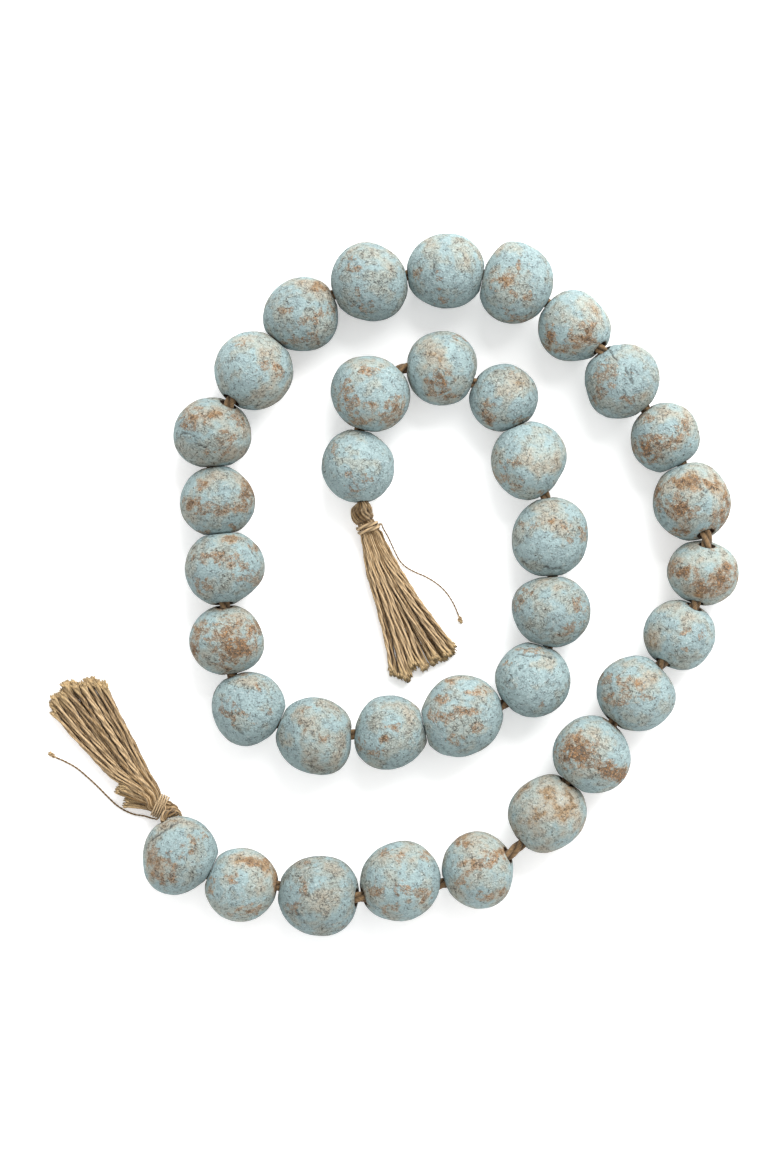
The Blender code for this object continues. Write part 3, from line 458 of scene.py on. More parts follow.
# Sides of the strands' sections
YARN_SIDES = 8
THREAD_SIDES = 10
CORD_SIDES = 24
FIBRE_SIDES = 4

# A head's yarns: how much of the room round it they fill, how deep some sink, and their uneven spacing
HEAD_FILL = 0.88
HEAD_SINK = 0.45
HEAD_STAGGER = 0.06
HEAD_SWELL = 0.3         # how far the ovals they lie on are outside those of the head

# A frayed end: how long its fibres are inside the yarn, their radii, and their least height
FRAY_ROOT = 1.2
FRAY_RADII = (0.36, 0.34, 0.2)
FRAY_LEVEL = 0.38

# How the yarns of a skirt leave the neck and lie on the floor
SKIRT_READINGS = 12      # along a yarn's fan
NECK_RISE = 0.68         # level of the highest layer in the neck, as a share of its half height
NECK_ROOM = 0.93         # how much of the neck's width the yarns fill
YARN_LEVEL = 1.15        # height of the lowest yarns' middle over the floor
LAYER_STEP = 1.6         # height of one layer over the next
EDGE_INSET = 0.9         # how far inside the skirt's edges the outermost yarns run
END_RAGGED = (-2.6, 0.4)      # how unevenly the yarns are cut
END_WAVES = (1.3, 9.0, 1.0)   # of the cut ends across the skirt: height, waves, start
WAVE_LENGTH = (8.0, 15.0)
WAVE_HEIGHT = (0.2, 0.9)
RIPPLE_LENGTH = 4.5
RIPPLE_HEIGHT = (0.0, 0.3)
YARN_WIDTHS = (0.85, 1.15)    # of the set yarn's
NECK_SHADE = (-1.6, 2.4)      # how much darker some yarns are near the neck, as painted shade where they crowd: only the part over 0 counts
SHADE_REACH = (36.0, 8.0)     # where along a yarn that shade ends and where it is full

# Twist
HEAD_LAY = 2.4           # length of a turn in the heads, loops and bindings, in lays of the set yarn
STUB_LAY = 6.0           # the same in the short cut ends
TAIL_LAY = 4.2           # the same in the tie tails, in millimetres
TURN = 6.28              # radians: a random start of a twist or wave is anywhere up to this

# Wrapped necks: centre x, y, z and heading
INNER_NECK = (-13.65, 29.9, 6.85, -66.5)
OUTER_NECK = (-121.3, -116.55, 6.8, 158.5)

# Threads wound round each neck: turns, pitch, lean, shift along the neck, ring radius, thread radius
INNER_WINDINGS = ((2.0, 2.4, 0.1, 0.0, 5.3, 1.1),)
OUTER_WINDINGS = (
    (1.0, 0.0, 2.4, -1.7, 4.8, 0.6),
    (1.0, 0.0, 2.4, -0.6, 4.9, 0.6),
    (1.0, 0.0, 2.4, 0.5, 4.8, 0.6),
    (1.0, 0.0, -0.8, -0.3, 5.9, 0.6),
    (1.0, 0.0, -0.7, 0.95, 6.1, 0.6),
    (1.0, 0.0, -0.7, 2.2, 6.1, 0.6),
    (1.0, 0.0, -0.6, 3.45, 5.9, 0.6),
)

# From the last winding to where the tail begins: x, y, z
INNER_LEAD = ((-9.9, 30.2, 10.4), (-8.4, 31.2, 8.8), (-7.2, 31.9, 7.8), (-6.5, 32.0, 7.0))
OUTER_LEAD = ((-122.4, -120.2, 10.0), (-123.5, -122.0, 7.6), (-124.4, -122.9, 5.8), (-124.9, -123.0, 4.6))

# Bindings: side, neck, windings, lead and the thread's radius where the tail begins
BINDINGS = (
    ("inner", INNER_NECK, INNER_WINDINGS, INNER_LEAD, 0.5),
    ("outer", OUTER_NECK, OUTER_WINDINGS, OUTER_LEAD, 0.55),
)

# Free tie tails along the floor: x, y, z
INNER_TAIL = (
    (-6.5, 32.0, 7.0),
    (-5.6, 29.6, 6.2),
    (-3.4, 25.8, 4.4),
    (-1.3, 21.4, 2.6),
    (0.8, 16.9, 1.3),
    (3.2, 12.6, 0.8),
    (6.6, 9.3, 0.55),
    (11.3, 6.7, 0.5),
    (16.8, 4.3, 0.5),
    (22.2, 1.0, 0.5),
    (26.8, -3.1, 0.5),
    (30.2, -7.8, 0.5),
    (32.4, -12.0, 0.5),
    (34.0, -15.9, 0.5),
)
OUTER_TAIL = (
    (-124.9, -123.0, 4.6),
    (-127.4, -122.7, 3.0),
    (-131.6, -121.6, 1.3),
    (-136.5, -120.9, 0.8),
    (-141.4, -119.0, 0.6),
    (-146.0, -116.1, 0.6),
    (-150.2, -112.2, 0.6),
    (-155.0, -107.3, 0.6),
    (-160.6, -102.0, 0.6),
    (-167.0, -96.6, 0.6),
    (-172.7, -93.3, 0.6),
    (-177.4, -91.2, 0.6),
)

# End knots: centre x, y, half length, half width, heading
INNER_KNOT = (34.9, -18.3, 2.0, 1.5, -70.0)
OUTER_KNOT = (-180.0, -89.6, 2.1, 1.3, 144.0)

KNOT_READINGS = 72
KNOT_LIFT = 1.9          # how high its upper crossings lie, in radii of the tail

# Ties: side, tail, radius, knot, and how much longer and wider than usual the knot's brush is
TIES = (
    ("inner", INNER_TAIL, 0.45, INNER_KNOT, 0.0),
    ("outer", OUTER_TAIL, 0.55, OUTER_KNOT, 0.35),
)

# Floor, light and camera, in metres unless it says otherwise
KEY_DISTANCE = 2.2
LAMP_SIZE = 2.0
FLOOR_REACH = 4.0        # from its middle to each side
FLOOR_LEVEL = -0.0004    # just under the garland
FLOOR_TINT = (300.0, 0.985)   # size in millimetres of its uneven tint, and how dark that gets
CAMERA_SIDE = -2.1       # across from the middle of the spiral, in millimetres
SENSOR_WIDTH = 36.0      # millimetres
CAMERA_REACH = 20.0


# Small mathematics

def direction(degrees):
    """The level unit vector at an angle."""
    return np.array((math.cos(math.radians(degrees)), math.sin(math.radians(degrees)), 0.0))


def unit(vector):
    return vector / np.linalg.norm(vector)


def leftward(forward):
    """The level direction square to a level one, to its left."""
    return np.array((-forward[1], forward[0], 0.0))


def smoothstep(low, high, values):
    """0 below low, 1 above high, and 3t^2 - 2t^3 between them."""
    share = np.clip((values - low) / (high - low), 0.0, 1.0)
    return share * share * (3.0 - 2.0 * share)


def smooth_route(points, step):
    """Reads a Catmull-Rom curve through the points, about one reading for each step of length."""
    points = np.array(points, float)
    padded = np.vstack((2 * points[0] - points[1], points, 2 * points[-1] - points[-2]))
    route = []
    for before, start, end, after in zip(padded, padded[1:], padded[2:], padded[3:]):
        readings = max(1, round(float(np.linalg.norm(end - start)) / step))
        share = (np.arange(readings) / readings)[:, None]
        bend = (2 * before - 5 * start + 4 * end - after) * share ** 2
        twist = (3 * start - before - 3 * end + after) * share ** 3
        route.append(start + 0.5 * ((end - before) * share + bend + twist))
    route.append(points[-1:])
    return np.vstack(route)


def run_lengths(route):
    """The distance along a route to each of its points."""
    return np.concatenate(((0.0,), np.cumsum(np.linalg.norm(np.diff(route, axis=0), axis=1))))


def carried_axes(route):
    """Headings along a route, and two axes across it, carried from point to point without a spin."""
    headings = np.gradient(route, axis=0)
    headings /= np.linalg.norm(headings, axis=1)[:, None]
    side = np.cross(headings[0], (0.0, 0.0, 1.0))
    if np.linalg.norm(side) < 0.1:
        side = np.cross(headings[0], (0.0, 1.0, 0.0))
    sides = []
    for heading in headings:
        side = unit(side - heading * (side @ heading))
        sides.append(side)
    sides = np.array(sides)
    return headings, sides, np.cross(sides, headings)


def lattice_noise(points, size, seed):
    """Random numbers from -1 to 1 at the corners of a cubic lattice, blended smoothly between them."""
    table = np.random.default_rng(seed).uniform(-1.0, 1.0, (LATTICE, LATTICE, LATTICE))
    cells = points / size
    base = np.floor(cells).astype(int)
    share = smoothstep(0.0, 1.0, cells - base)
    total = np.zeros(len(points))
    for corner in np.ndindex(2, 2, 2):
        weight = np.prod(np.where(corner, share, 1.0 - share), axis=1)
        total += weight * table[tuple((base + corner).T % LATTICE)]
    return total


# Meshes

LAY_SHIFT = 10.0         # a yarn's own start along its fibres, for each radian of its phase


def grid_faces(rows, columns, closed=False):
    """Quads of a grid that closes round its columns, and round its rows too if closed is true."""
    row = np.arange(rows if closed else rows - 1)[:, None]
    column = np.arange(columns)[None, :]
    after = (column + 1) % columns
    below = (row + 1) % rows
    corners = (row * columns + column, below * columns + column, below * columns + after,
               row * columns + after)
    return np.stack(np.broadcast_arrays(*corners), axis=-1).reshape(-1, 4)


def build_piece(name, points, faces, material, attributes=None, layout=None):
    """Puts points in millimetres and groups of faces into a new smooth mesh object at the origin."""
    mesh = bpy.data.meshes.new(name)
    corners = np.concatenate([group.ravel() for group in faces]).astype(np.int32)
    counts = np.concatenate([np.full(len(group), group.shape[1]) for group in faces])
    starts = np.concatenate(((0,), np.cumsum(counts)[:-1])).astype(np.int32)
    mesh.vertices.add(len(points))
    mesh.vertices.foreach_set("co", (points * MM).astype(np.float32).ravel())
    mesh.loops.add(len(corners))
    mesh.loops.foreach_set("vertex_index", corners)
    mesh.polygons.add(len(counts))
    mesh.polygons.foreach_set("loop_start", starts)
    mesh.update(calc_edges=True)
    mesh.validate()
    mesh.shade_smooth()
    for label, values in (attributes or {}).items():
        layer = mesh.attributes.new(label, "FLOAT", "POINT")
        layer.data.foreach_set("value", values.astype(np.float32))
    if layout is not None:
        mesh.uv_layers.new(name="Lay").data.foreach_set("uv", layout.astype(np.float32).ravel())
    mesh.materials.append(material)
    piece = bpy.data.objects.new(name, mesh)
    bpy.context.scene.collection.objects.link(piece)
    return piece


def laid_radius(angles, plies, ply_offset):
    """The outline of some equal circles laid round one middle, as a radius of 1 at the most."""
    spacing = 2 * math.pi / plies
    turn = (angles + spacing / 2) % spacing - spacing / 2
    ply_radius = 1.0 - ply_offset
    return ply_offset * np.cos(turn) + np.sqrt(ply_radius ** 2 - (ply_offset * np.sin(turn)) ** 2)


class Strands:
    """Gathers twisted yarns, and then makes one mesh of them.

    A yarn is an outline of circles that touch, turned steadily as it is carried along a route.
    """

    def __init__(self, columns):
        self.columns = columns
        self.points = []
        self.faces = []
        self.caps = []
        self.layout = []
        self.tones = []
        self.tips = []
        self.groove_shades = []
        self.count = 0

    def add(self, route, radii, lay, plies=2, ply_offset=0.24, tone=0.5, phase=0.0, tips=0.0):
        """Adds one yarn. Its lay is the length of a turn, its tone lighter or darker, its tips frayed."""
        rows = len(route)
        columns = self.columns
        along = run_lengths(route)
        _, sides, rises = carried_axes(route)
        angles = np.arange(columns) * 2 * math.pi / columns
        turned = angles[None, :] + (phase + along * 2 * math.pi / lay)[:, None]
        outline = laid_radius(angles, plies, ply_offset)
        reach = outline[None, :] * np.broadcast_to(radii, rows)[:, None]
        across = (reach * np.cos(turned))[:, :, None] * sides[:, None, :]
        upward = (reach * np.sin(turned))[:, :, None] * rises[:, None, :]
        self.points.append((route[:, None, :] + across + upward).reshape(-1, 3))
        quads = grid_faces(rows, columns)
        ends = np.array((np.arange(columns), np.arange(rows * columns - 1, (rows - 1) * columns - 1, -1)))
        self.faces.append(quads + self.count)
        self.caps.append(ends + self.count)
        around = np.arange(columns)[None, :] / columns * np.ones((rows - 1, 1))
        start = np.broadcast_to(along[:-1, None] + phase * LAY_SHIFT, around.shape)
        end = np.broadcast_to(along[1:, None] + phase * LAY_SHIFT, around.shape)
        step = around + 1.0 / columns
        corners = np.stack((around, start, around, end, step, end, step, start), axis=-1)
        self.layout.append(corners.reshape(-1, 2))
        self.tones.append(np.repeat(np.broadcast_to(tone, rows), columns))
        self.tips.append(np.repeat(np.broadcast_to(tips, rows), columns))
        # How deep each column lies between the plies: the jute paints it darker as shade
        self.groove_shades.append(np.tile((1.0 - outline) / max(1.0 - outline.min(), 0.01), rows))
        self.count += rows * columns

    def finish(self, name, material):
        """Makes the mesh, with no point under the floor."""
        points = np.vstack(self.points)
        points[:, 2] = np.maximum(points[:, 2], 0.0)
        caps = np.vstack(self.caps)
        layout = np.vstack(self.layout + [np.zeros((caps.size, 2))])
        faces = [np.vstack(self.faces), caps]
        attributes = {"tone": np.concatenate(self.tones), "tip": np.concatenate(self.tips),
                      "groove_shade": np.concatenate(self.groove_shades)}
        return build_piece(name, points, faces, material, attributes, layout)


# Beads

def lump_height(number, degrees):
    """How far a bead's own swellings and pressed places move its outline: a bell curve for each."""
    total = np.zeros_like(degrees)
    for towards, height in LUMPS.get(number, ()):
        turn = (degrees - towards + 180.0) % 360.0 - 180.0
        total = total + height * np.exp(-(turn / LUMP_WIDTH) ** 2)
    return total


def outline_radius(bead, degrees):
    """A bead's plan radius at an angle: its ellipse and its lumps."""
    turn = math.radians(degrees - bead["heading"])
    ellipse = 1.0 / math.hypot(math.cos(turn) / bead["half"][0], math.sin(turn) / bead["half"][1])
    return ellipse + float(lump_height(bead["number"], np.array(degrees)))


def hole_height(bead):
    return CORD_LEVEL + HOLE_DRIFT * (bead["centre"][2] - CORD_LEVEL)


def plan_beads():
    """Works out each bead's place, the ends of its hole and where its neighbours press it flat."""
    places = np.array([(row[0], row[1]) for row in BEADS])
    steps = [unit(step) for step in np.diff(places, axis=0)]
    turns = [steps[0]] + [before + after for before, after in zip(steps, steps[1:])] + [steps[-1]]
    beads = []
    for index, (x, y, along, across, outside) in enumerate(BEADS):
        half = np.array((along, across, across * BEAD_FLATTENING)) / 2
        beads.append({
            "number": index + 1,
            "centre": np.array((x, y, half[2] - BEAD_FOOT)),
            "half": half,
            "heading": math.degrees(math.atan2(turns[index][1], turns[index][0])),
            "outside": outside,
            "limits": [],
        })
    beads[0]["enter"] = end_mouth(beads[0], FIRST_EXIT)
    beads[-1]["leave"] = end_mouth(beads[-1], LAST_EXIT)
    for bead, after in zip(beads, beads[1:]):
        meet(bead, after)
    return beads


def end_mouth(bead, towards):
    mouth = bead["centre"] + outline_radius(bead, towards) * direction(towards)
    mouth[2] = hole_height(bead)
    return mouth


def meet(bead, after):
    """Shares the room between two neighbours and sets where the cord passes between them."""
    step = (after["centre"] - bead["centre"]) * (1.0, 1.0, 0.0)
    towards = math.degrees(math.atan2(step[1], step[0]))
    forward = unit(step)
    left = leftward(forward)
    reach = outline_radius(bead, towards)
    reach_back = outline_radius(after, towards + 180.0)
    spare = float(np.linalg.norm(step)) - BEAD_GAP - reach - reach_back
    bead["limits"].append((forward, reach + spare / 2))
    after["limits"].append((-forward, reach_back + spare / 2))
    middle = bead["centre"] + forward * (reach + spare / 2 + BEAD_GAP / 2) + left * bead["outside"]
    middle[2] = (hole_height(bead) + hole_height(after)) / 2
    opening = max(spare, 0.0) / 2 + bead["outside"] ** 2 / (4 * bead["half"][1])
    rises = HIGH_MOUTHS.get(bead["number"], (0.0, 0.0))
    up = np.array((0.0, 0.0, 1.0))
    bead["leave"] = middle - forward * (opening + end_slope(bead, rises[0])) + up * rises[0]
    after["enter"] = middle + forward * (opening + end_slope(after, rises[1])) + up * rises[1]


def end_slope(bead, rise):
    """How far a bead's end has drawn back at this height over its middle, on its ellipse."""
    return bead["half"][0] * (1.0 - math.sqrt(1.0 - (rise / bead["half"][2]) ** 2))


def bead_frame(bead):
    """Rows: along the hole, to its left, and up."""
    forward = direction(bead["heading"])
    left = leftward(forward)
    return np.array((forward, left, (0.0, 0.0, 1.0)))


def bead_surface(bead, ball, relief=0.0):
    """Points of a unit ball made a bead: an ellipsoid, pushed out by its lumps, its slow swellings and
    the relief, and pressed softly towards a plane wherever it would pass into a neighbour."""
    axes = bead_frame(bead)
    facing = ball @ axes
    points = (ball * bead["half"]) @ axes
    random = np.random.default_rng(bead["number"])
    waves_along = random.normal(size=(4, 3))
    waves_along /= np.linalg.norm(waves_along, axis=1)[:, None]
    waves = np.sin(facing @ waves_along.T * random.uniform(2.5, 4.0, 4) + random.uniform(0.0, TURN, 4))
    level = np.sqrt(np.maximum(1.0 - facing[:, 2] ** 2, 0.0))
    degrees = np.degrees(np.arctan2(facing[:, 1], facing[:, 0]))
    push = lump_height(bead["number"], degrees) * level ** 2 + relief
    push = push + BEAD_UNEVENNESS * waves.sum(axis=1) * (1.0 + facing[:, 2]) / 2 * (1.0 - level ** 4)
    points = points + facing * push[:, None]
    for towards, limit in bead["limits"]:
        start = limit - BEAD_SOFTNESS
        past = np.maximum(points @ towards - start, 0.0)
        pressed = BEAD_SOFTNESS * (1.0 - np.exp(-past / BEAD_SOFTNESS))
        points = points + np.outer(pressed - past, towards)
    return points + bead["centre"]


def seen_disc(bead, facing, eye):
    """Places on the disc that a bead shows to the eye: across, up and towards it."""
    ahead = unit(eye - bead["centre"])
    across = unit(np.cross((0.0, 1.0, 0.0), ahead))
    return facing @ np.array((across, np.cross(ahead, across), ahead)).T


def patch_cover(disc, patches):
    """The sum of a bell curve for each patch, on the side that faces the eye."""
    total = np.zeros(len(disc))
    for across, up, reach_across, reach_up in patches:
        apart = ((disc[:, 0] - across) / reach_across) ** 2 + ((disc[:, 1] - up) / reach_up) ** 2
        total += np.exp(-apart / PATCH_SPREAD ** 2)
    return total * smoothstep(-0.1, 0.15, disc[:, 2])


def hidden_patches(facing, disc, random, count, reach):
    """Bell curves round some random directions, on the side turned away from the eye."""
    total = np.zeros(len(facing))
    for towards in random.normal(size=(count, 3)):
        apart = np.linalg.norm(facing - unit(towards), axis=1)
        total += np.exp(-(apart / random.uniform(*reach)) ** 2)
    return total * smoothstep(0.15, -0.1, disc[:, 2])


def crack_depth(disc, runs, radius):
    """From 0 to 1: how near a point lies to the nearest of some broken lines, as a bell curve."""
    nearest = np.full(len(disc), 9.0)
    for run in runs:
        for start, end in zip(run, run[1:]):
            start = np.array(start)
            span = np.array(end) - start
            share = np.clip((disc[:, :2] - start) @ span / (span @ span), 0.0, 1.0)
            apart = np.linalg.norm(disc[:, :2] - start - share[:, None] * span, axis=1)
            nearest = np.minimum(nearest, apart)
    return np.exp(-(nearest * radius / CRACK_WIDTH) ** 2) * (disc[:, 2] > 0)


def hole_rings(bead, rim, around, inward):
    """Rings from a mouth's rim into the hole: they keep the rim's own distances from the axis and its
    own levels along it at first, and become level circles that narrow with depth."""
    along = unit(bead["leave"] - bead["enter"])
    left = unit(np.cross((0.0, 0.0, 1.0), along))
    turned = np.outer(np.cos(around), left) + np.outer(np.sin(around), np.cross(along, left))
    levels = (rim - bead["enter"]) @ along
    outward = rim - bead["enter"] - np.outer(levels, along)
    reach = np.linalg.norm(outward, axis=1)
    rings = []
    for depth, share in HOLE_RINGS:
        level = levels * (1.0 - share) + levels.mean() * share + inward * depth
        circle = HOLE_RADIUS + MOUTH_FLARE * max(MOUTH_DEPTH - depth, 0.0)
        radius = reach * (1.0 - share) + circle * share
        facing = outward / reach[:, None] * (1.0 - share) + turned * share
        facing /= np.linalg.norm(facing, axis=1)[:, None]
        rings.append(bead["enter"] + np.outer(level, along) + facing * radius[:, None])
    return rings


def make_bead(bead, settings, eye, material):
    """A closed grid over the outside of a bead from mouth to mouth and back through its hole."""
    number = bead["number"]
    strength, haze, light = BEAD_FINISHES[number - 1]
    random = np.random.default_rng(100 + number)
    axes = bead_frame(bead)
    around = np.arange(BEAD_COLUMNS) * 2 * math.pi / BEAD_COLUMNS
    polar = np.linspace(math.pi - MOUTH_ANGLE, MOUTH_ANGLE, BEAD_ROWS)
    ring = np.stack((np.zeros_like(around), np.cos(around), np.sin(around)), axis=1)
    ball = np.cos(polar)[:, None, None] * (1.0, 0.0, 0.0) + np.sin(polar)[:, None, None] * ring[None]
    ball = ball.reshape(-1, 3)
    leave = unit(axes @ (bead["leave"] - bead["centre"]) / bead["half"])
    enter = unit(axes @ (bead["enter"] - bead["centre"]) / bead["half"])
    towards = (1.0 + ball[:, :1]) / 2
    ball = ball + towards * (leave - (1.0, 0.0, 0.0)) + (1.0 - towards) * (enter + (1.0, 0.0, 0.0))
    ball /= np.linalg.norm(ball, axis=1)[:, None]

    facing = ball @ axes
    radius = float(bead["half"].mean())
    disc = seen_disc(bead, facing, eye)
    places = facing * radius + bead["centre"]
    worn = patch_cover(disc, WORN.get(number, ()))
    worn += hidden_patches(facing, disc, random, *HIDDEN_WORN)
    # Chalk, with the painted highlight bands along the upper side of many beads
    chalk_and_highlight = patch_cover(disc, CHALK_AND_HIGHLIGHT.get(number, ()))
    chalk_and_highlight += hidden_patches(facing, disc, random, *HIDDEN_CHALKED)
    size, wander = CRACK_WANDER
    wobble = np.stack([lattice_noise(places, size, seed) for seed in (3, 4, 5)], axis=1) * wander
    cracked = crack_depth(disc + wobble, CRACKS.get(number, ()), radius)
    rim_width, rim_strength = RIM_WEAR
    for mouth in (leave @ axes, enter @ axes):
        apart = np.linalg.norm(facing - mouth, axis=1) * radius - MOUTH_ANGLE * radius
        worn += rim_strength * np.exp(-(apart / rim_width) ** 2)
    worn *= strength

    relief = np.zeros(len(ball))
    for seed, (size, height) in enumerate(SWELLINGS):
        relief += height * settings.unevenness * lattice_noise(places, size, seed)
    for towards_pit in random.normal(size=(PITS, 3)):
        apart = np.linalg.norm(facing - unit(towards_pit), axis=1) * radius
        depth = random.uniform(*PIT_DEPTH) * settings.unevenness
        relief -= depth * np.exp(-(apart / random.uniform(*PIT_RADIUS)) ** 2)
    relief -= WEAR_DEPTH * np.clip(worn, 0.0, 1.0)
    relief -= CRACK_DEPTH * cracked
    outside = bead_surface(bead, ball, relief)

    leaving = hole_rings(bead, outside[-BEAD_COLUMNS:], around, -1.0)
    entering = hole_rings(bead, outside[:BEAD_COLUMNS], around, 1.0)
    hole = np.vstack(leaving + entering[::-1])
    points = np.vstack((outside, hole))
    points[:, 2] = np.maximum(points[:, 2], 0.0)
    spare = np.zeros(len(hole))
    attributes = {
        "worn": np.concatenate((worn, spare + INNER_WEAR)),
        "chalk_and_highlight": np.concatenate((chalk_and_highlight, spare)),
        "cracked": np.concatenate((cracked, spare)),
        # The inside of each hole, which the clay material paints dark as shade
        "inner": np.concatenate((np.zeros(len(outside)), spare + 1.0)),
        "haze": np.full(len(points), haze),
        "light": np.full(len(points), light),
        # The lower part of each bead, from a little above its widest round, is painted darker as shade
        "painted_underside_shade": np.concatenate((smoothstep(0.3, 0.0, facing[:, 2]), spare)),
    }
    faces = grid_faces(BEAD_ROWS + 2 * len(HOLE_RINGS), BEAD_COLUMNS, closed=True)
    piece = build_piece("washed_bead_%02d" % number, points, [faces], material, attributes)
    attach(piece, "root")
    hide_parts("bead_%02d" % number)
    return piece


def hole_point(bead, end, inset):
    """A point on a bead's hole axis, this far in from its enter or leave mouth."""
    inward = unit(bead["leave"] - bead["enter"]) * (1 if end == "enter" else -1)
    return bead[end] + inward * inset


def cord_route(beads, step):
    """The cord's stations: straight through each hole, then a cubic bend to the next bead's hole."""
    route = [hole_point(beads[0], "enter", CORD_END + GAP)[None]]
    for bead, after in zip(beads, beads[1:]):
        leave = hole_point(bead, "leave", CORD_STRAIGHT)
        arrive = hole_point(after, "enter", CORD_STRAIGHT)
        start = route[-1][-1]
        inside = max(1, round(float(np.linalg.norm(leave - start)) / step))
        route.append(start + np.arange(1, inside)[:, None] / inside * (leave - start))
        reach = float(np.linalg.norm(arrive - leave))
        forward = unit(bead["leave"] - bead["enter"]) * reach
        onward = unit(after["leave"] - after["enter"]) * reach
        share = np.linspace(0.0, 1.0, round(reach / step) + 1)[:, None]
        blend = share ** 2 * (3 - 2 * share)
        pull = share * (1 - share) ** 2 * forward - share ** 2 * (1 - share) * onward
        route.append(leave + (arrive - leave) * blend + pull)
    start = route[-1][-1]
    end = hole_point(beads[-1], "leave", CORD_END + GAP)
    inside = round(float(np.linalg.norm(end - start)) / step)
    route.append(start + np.arange(1, inside + 1)[:, None] / inside * (end - start))
    return np.vstack(route)


# Tassels

def section_point(row, heading, across, up):
    """A place on one section of a tassel's head: across and up are shares of its half sizes."""
    side = np.array((heading[1], -heading[0], 0.0))
    return np.array(row[:3]) + across * row[3] * side + up * row[4] * np.array((0.0, 0.0, 1.0))


def head_headings(rows):
    steps = np.gradient(np.array(rows)[:, :2], axis=0)
    return steps / np.linalg.norm(steps, axis=1)[:, None]


def add_head_yarns(strands, rows, count, lean, random, lay):
    """Yarns side by side round the head, from its tip to the far side of the wrapped neck. They sit
    a yarn's radius inside each section's oval, some a little deeper, and lean round it on the way."""
    headings = head_headings(rows)
    for index in range(count):
        start = index * 2 * math.pi / count + random.uniform(-HEAD_STAGGER, HEAD_STAGGER)
        sunk = random.uniform(0.0, HEAD_SINK)
        route = []
        radii = []
        for place, (row, heading) in enumerate(zip(rows, headings)):
            angle = start + lean * place / (len(rows) - 1)
            radius = math.pi * (row[3] + row[4]) / 2 / count * HEAD_FILL
            across = (1.0 - (radius + sunk) / (row[3] + HEAD_SWELL)) * math.cos(angle)
            up = (1.0 - (radius + sunk) / (row[4] + HEAD_SWELL)) * math.sin(angle)
            route.append(section_point(row, heading, across, up))
            radii.append(radius)
        stations = smooth_route(route, 0.9)
        widths = np.interp(run_lengths(stations), run_lengths(np.array(route)), radii)
        strands.add(stations, widths, lay, ply_offset=0.42, tone=random.uniform(-1.2, 1.0),
                    phase=random.uniform(0, TURN))


def add_core(strands, rows):
    """A plain filling under the head yarns, so that no light shows between them. It takes the darkest tone,
    as painted shade in the gaps between them.
    """
    middles = np.array(rows)[:, :3]
    widths = np.array(rows)[:, 3:].mean(axis=1) - 2.6
    stations = smooth_route(middles, 1.5)
    radii = np.interp(run_lengths(stations), run_lengths(middles), np.maximum(widths, 0.8))
    # The darkest tone: painted shade in the gaps between the head yarns
    strands.add(stations, radii, 60.0, plies=6, ply_offset=0.2, tone=-1.0)


def brush_end(radii, along, flare):
    """Widths of a yarn that opens out over its last 6 mm and closes at the cut, and its tip value."""
    left = along[-1] - along
    widths = radii * (1.0 + flare * smoothstep(6.0, 1.0, left)) * (1.0 - 0.5 * smoothstep(1.2, 0.0, left))
    return widths, smoothstep(9.0, 0.0, left)


def add_fray(strands, tip, heading, radius, random, fibres=16, length=1.9):
    """Loose fibres that stand out of a yarn's cut end in a small brush."""
    side = unit(np.cross(heading, (0.0, 0.0, 1.0)))
    rise = np.cross(side, heading)
    for _ in range(fibres):
        angle = random.uniform(0, 2 * math.pi)
        out = radius * random.uniform(0.2, 1.0)
        offset = side * math.cos(angle) * out + rise * math.sin(angle) * out
        start = tip + offset * 0.85 - heading * FRAY_ROOT
        end = tip + offset * random.uniform(1.0, 1.7) + heading * random.uniform(0.2, 1.0) * length
        middle = (start + end) / 2 + offset * 0.1
        route = np.array((start, middle, end))
        route[:, 2] = np.maximum(route[:, 2], FRAY_LEVEL)
        strands.add(route, np.array(FRAY_RADII), 4.0, ply_offset=0.0, tone=random.uniform(0.0, 1.0),
                    tips=1.0)


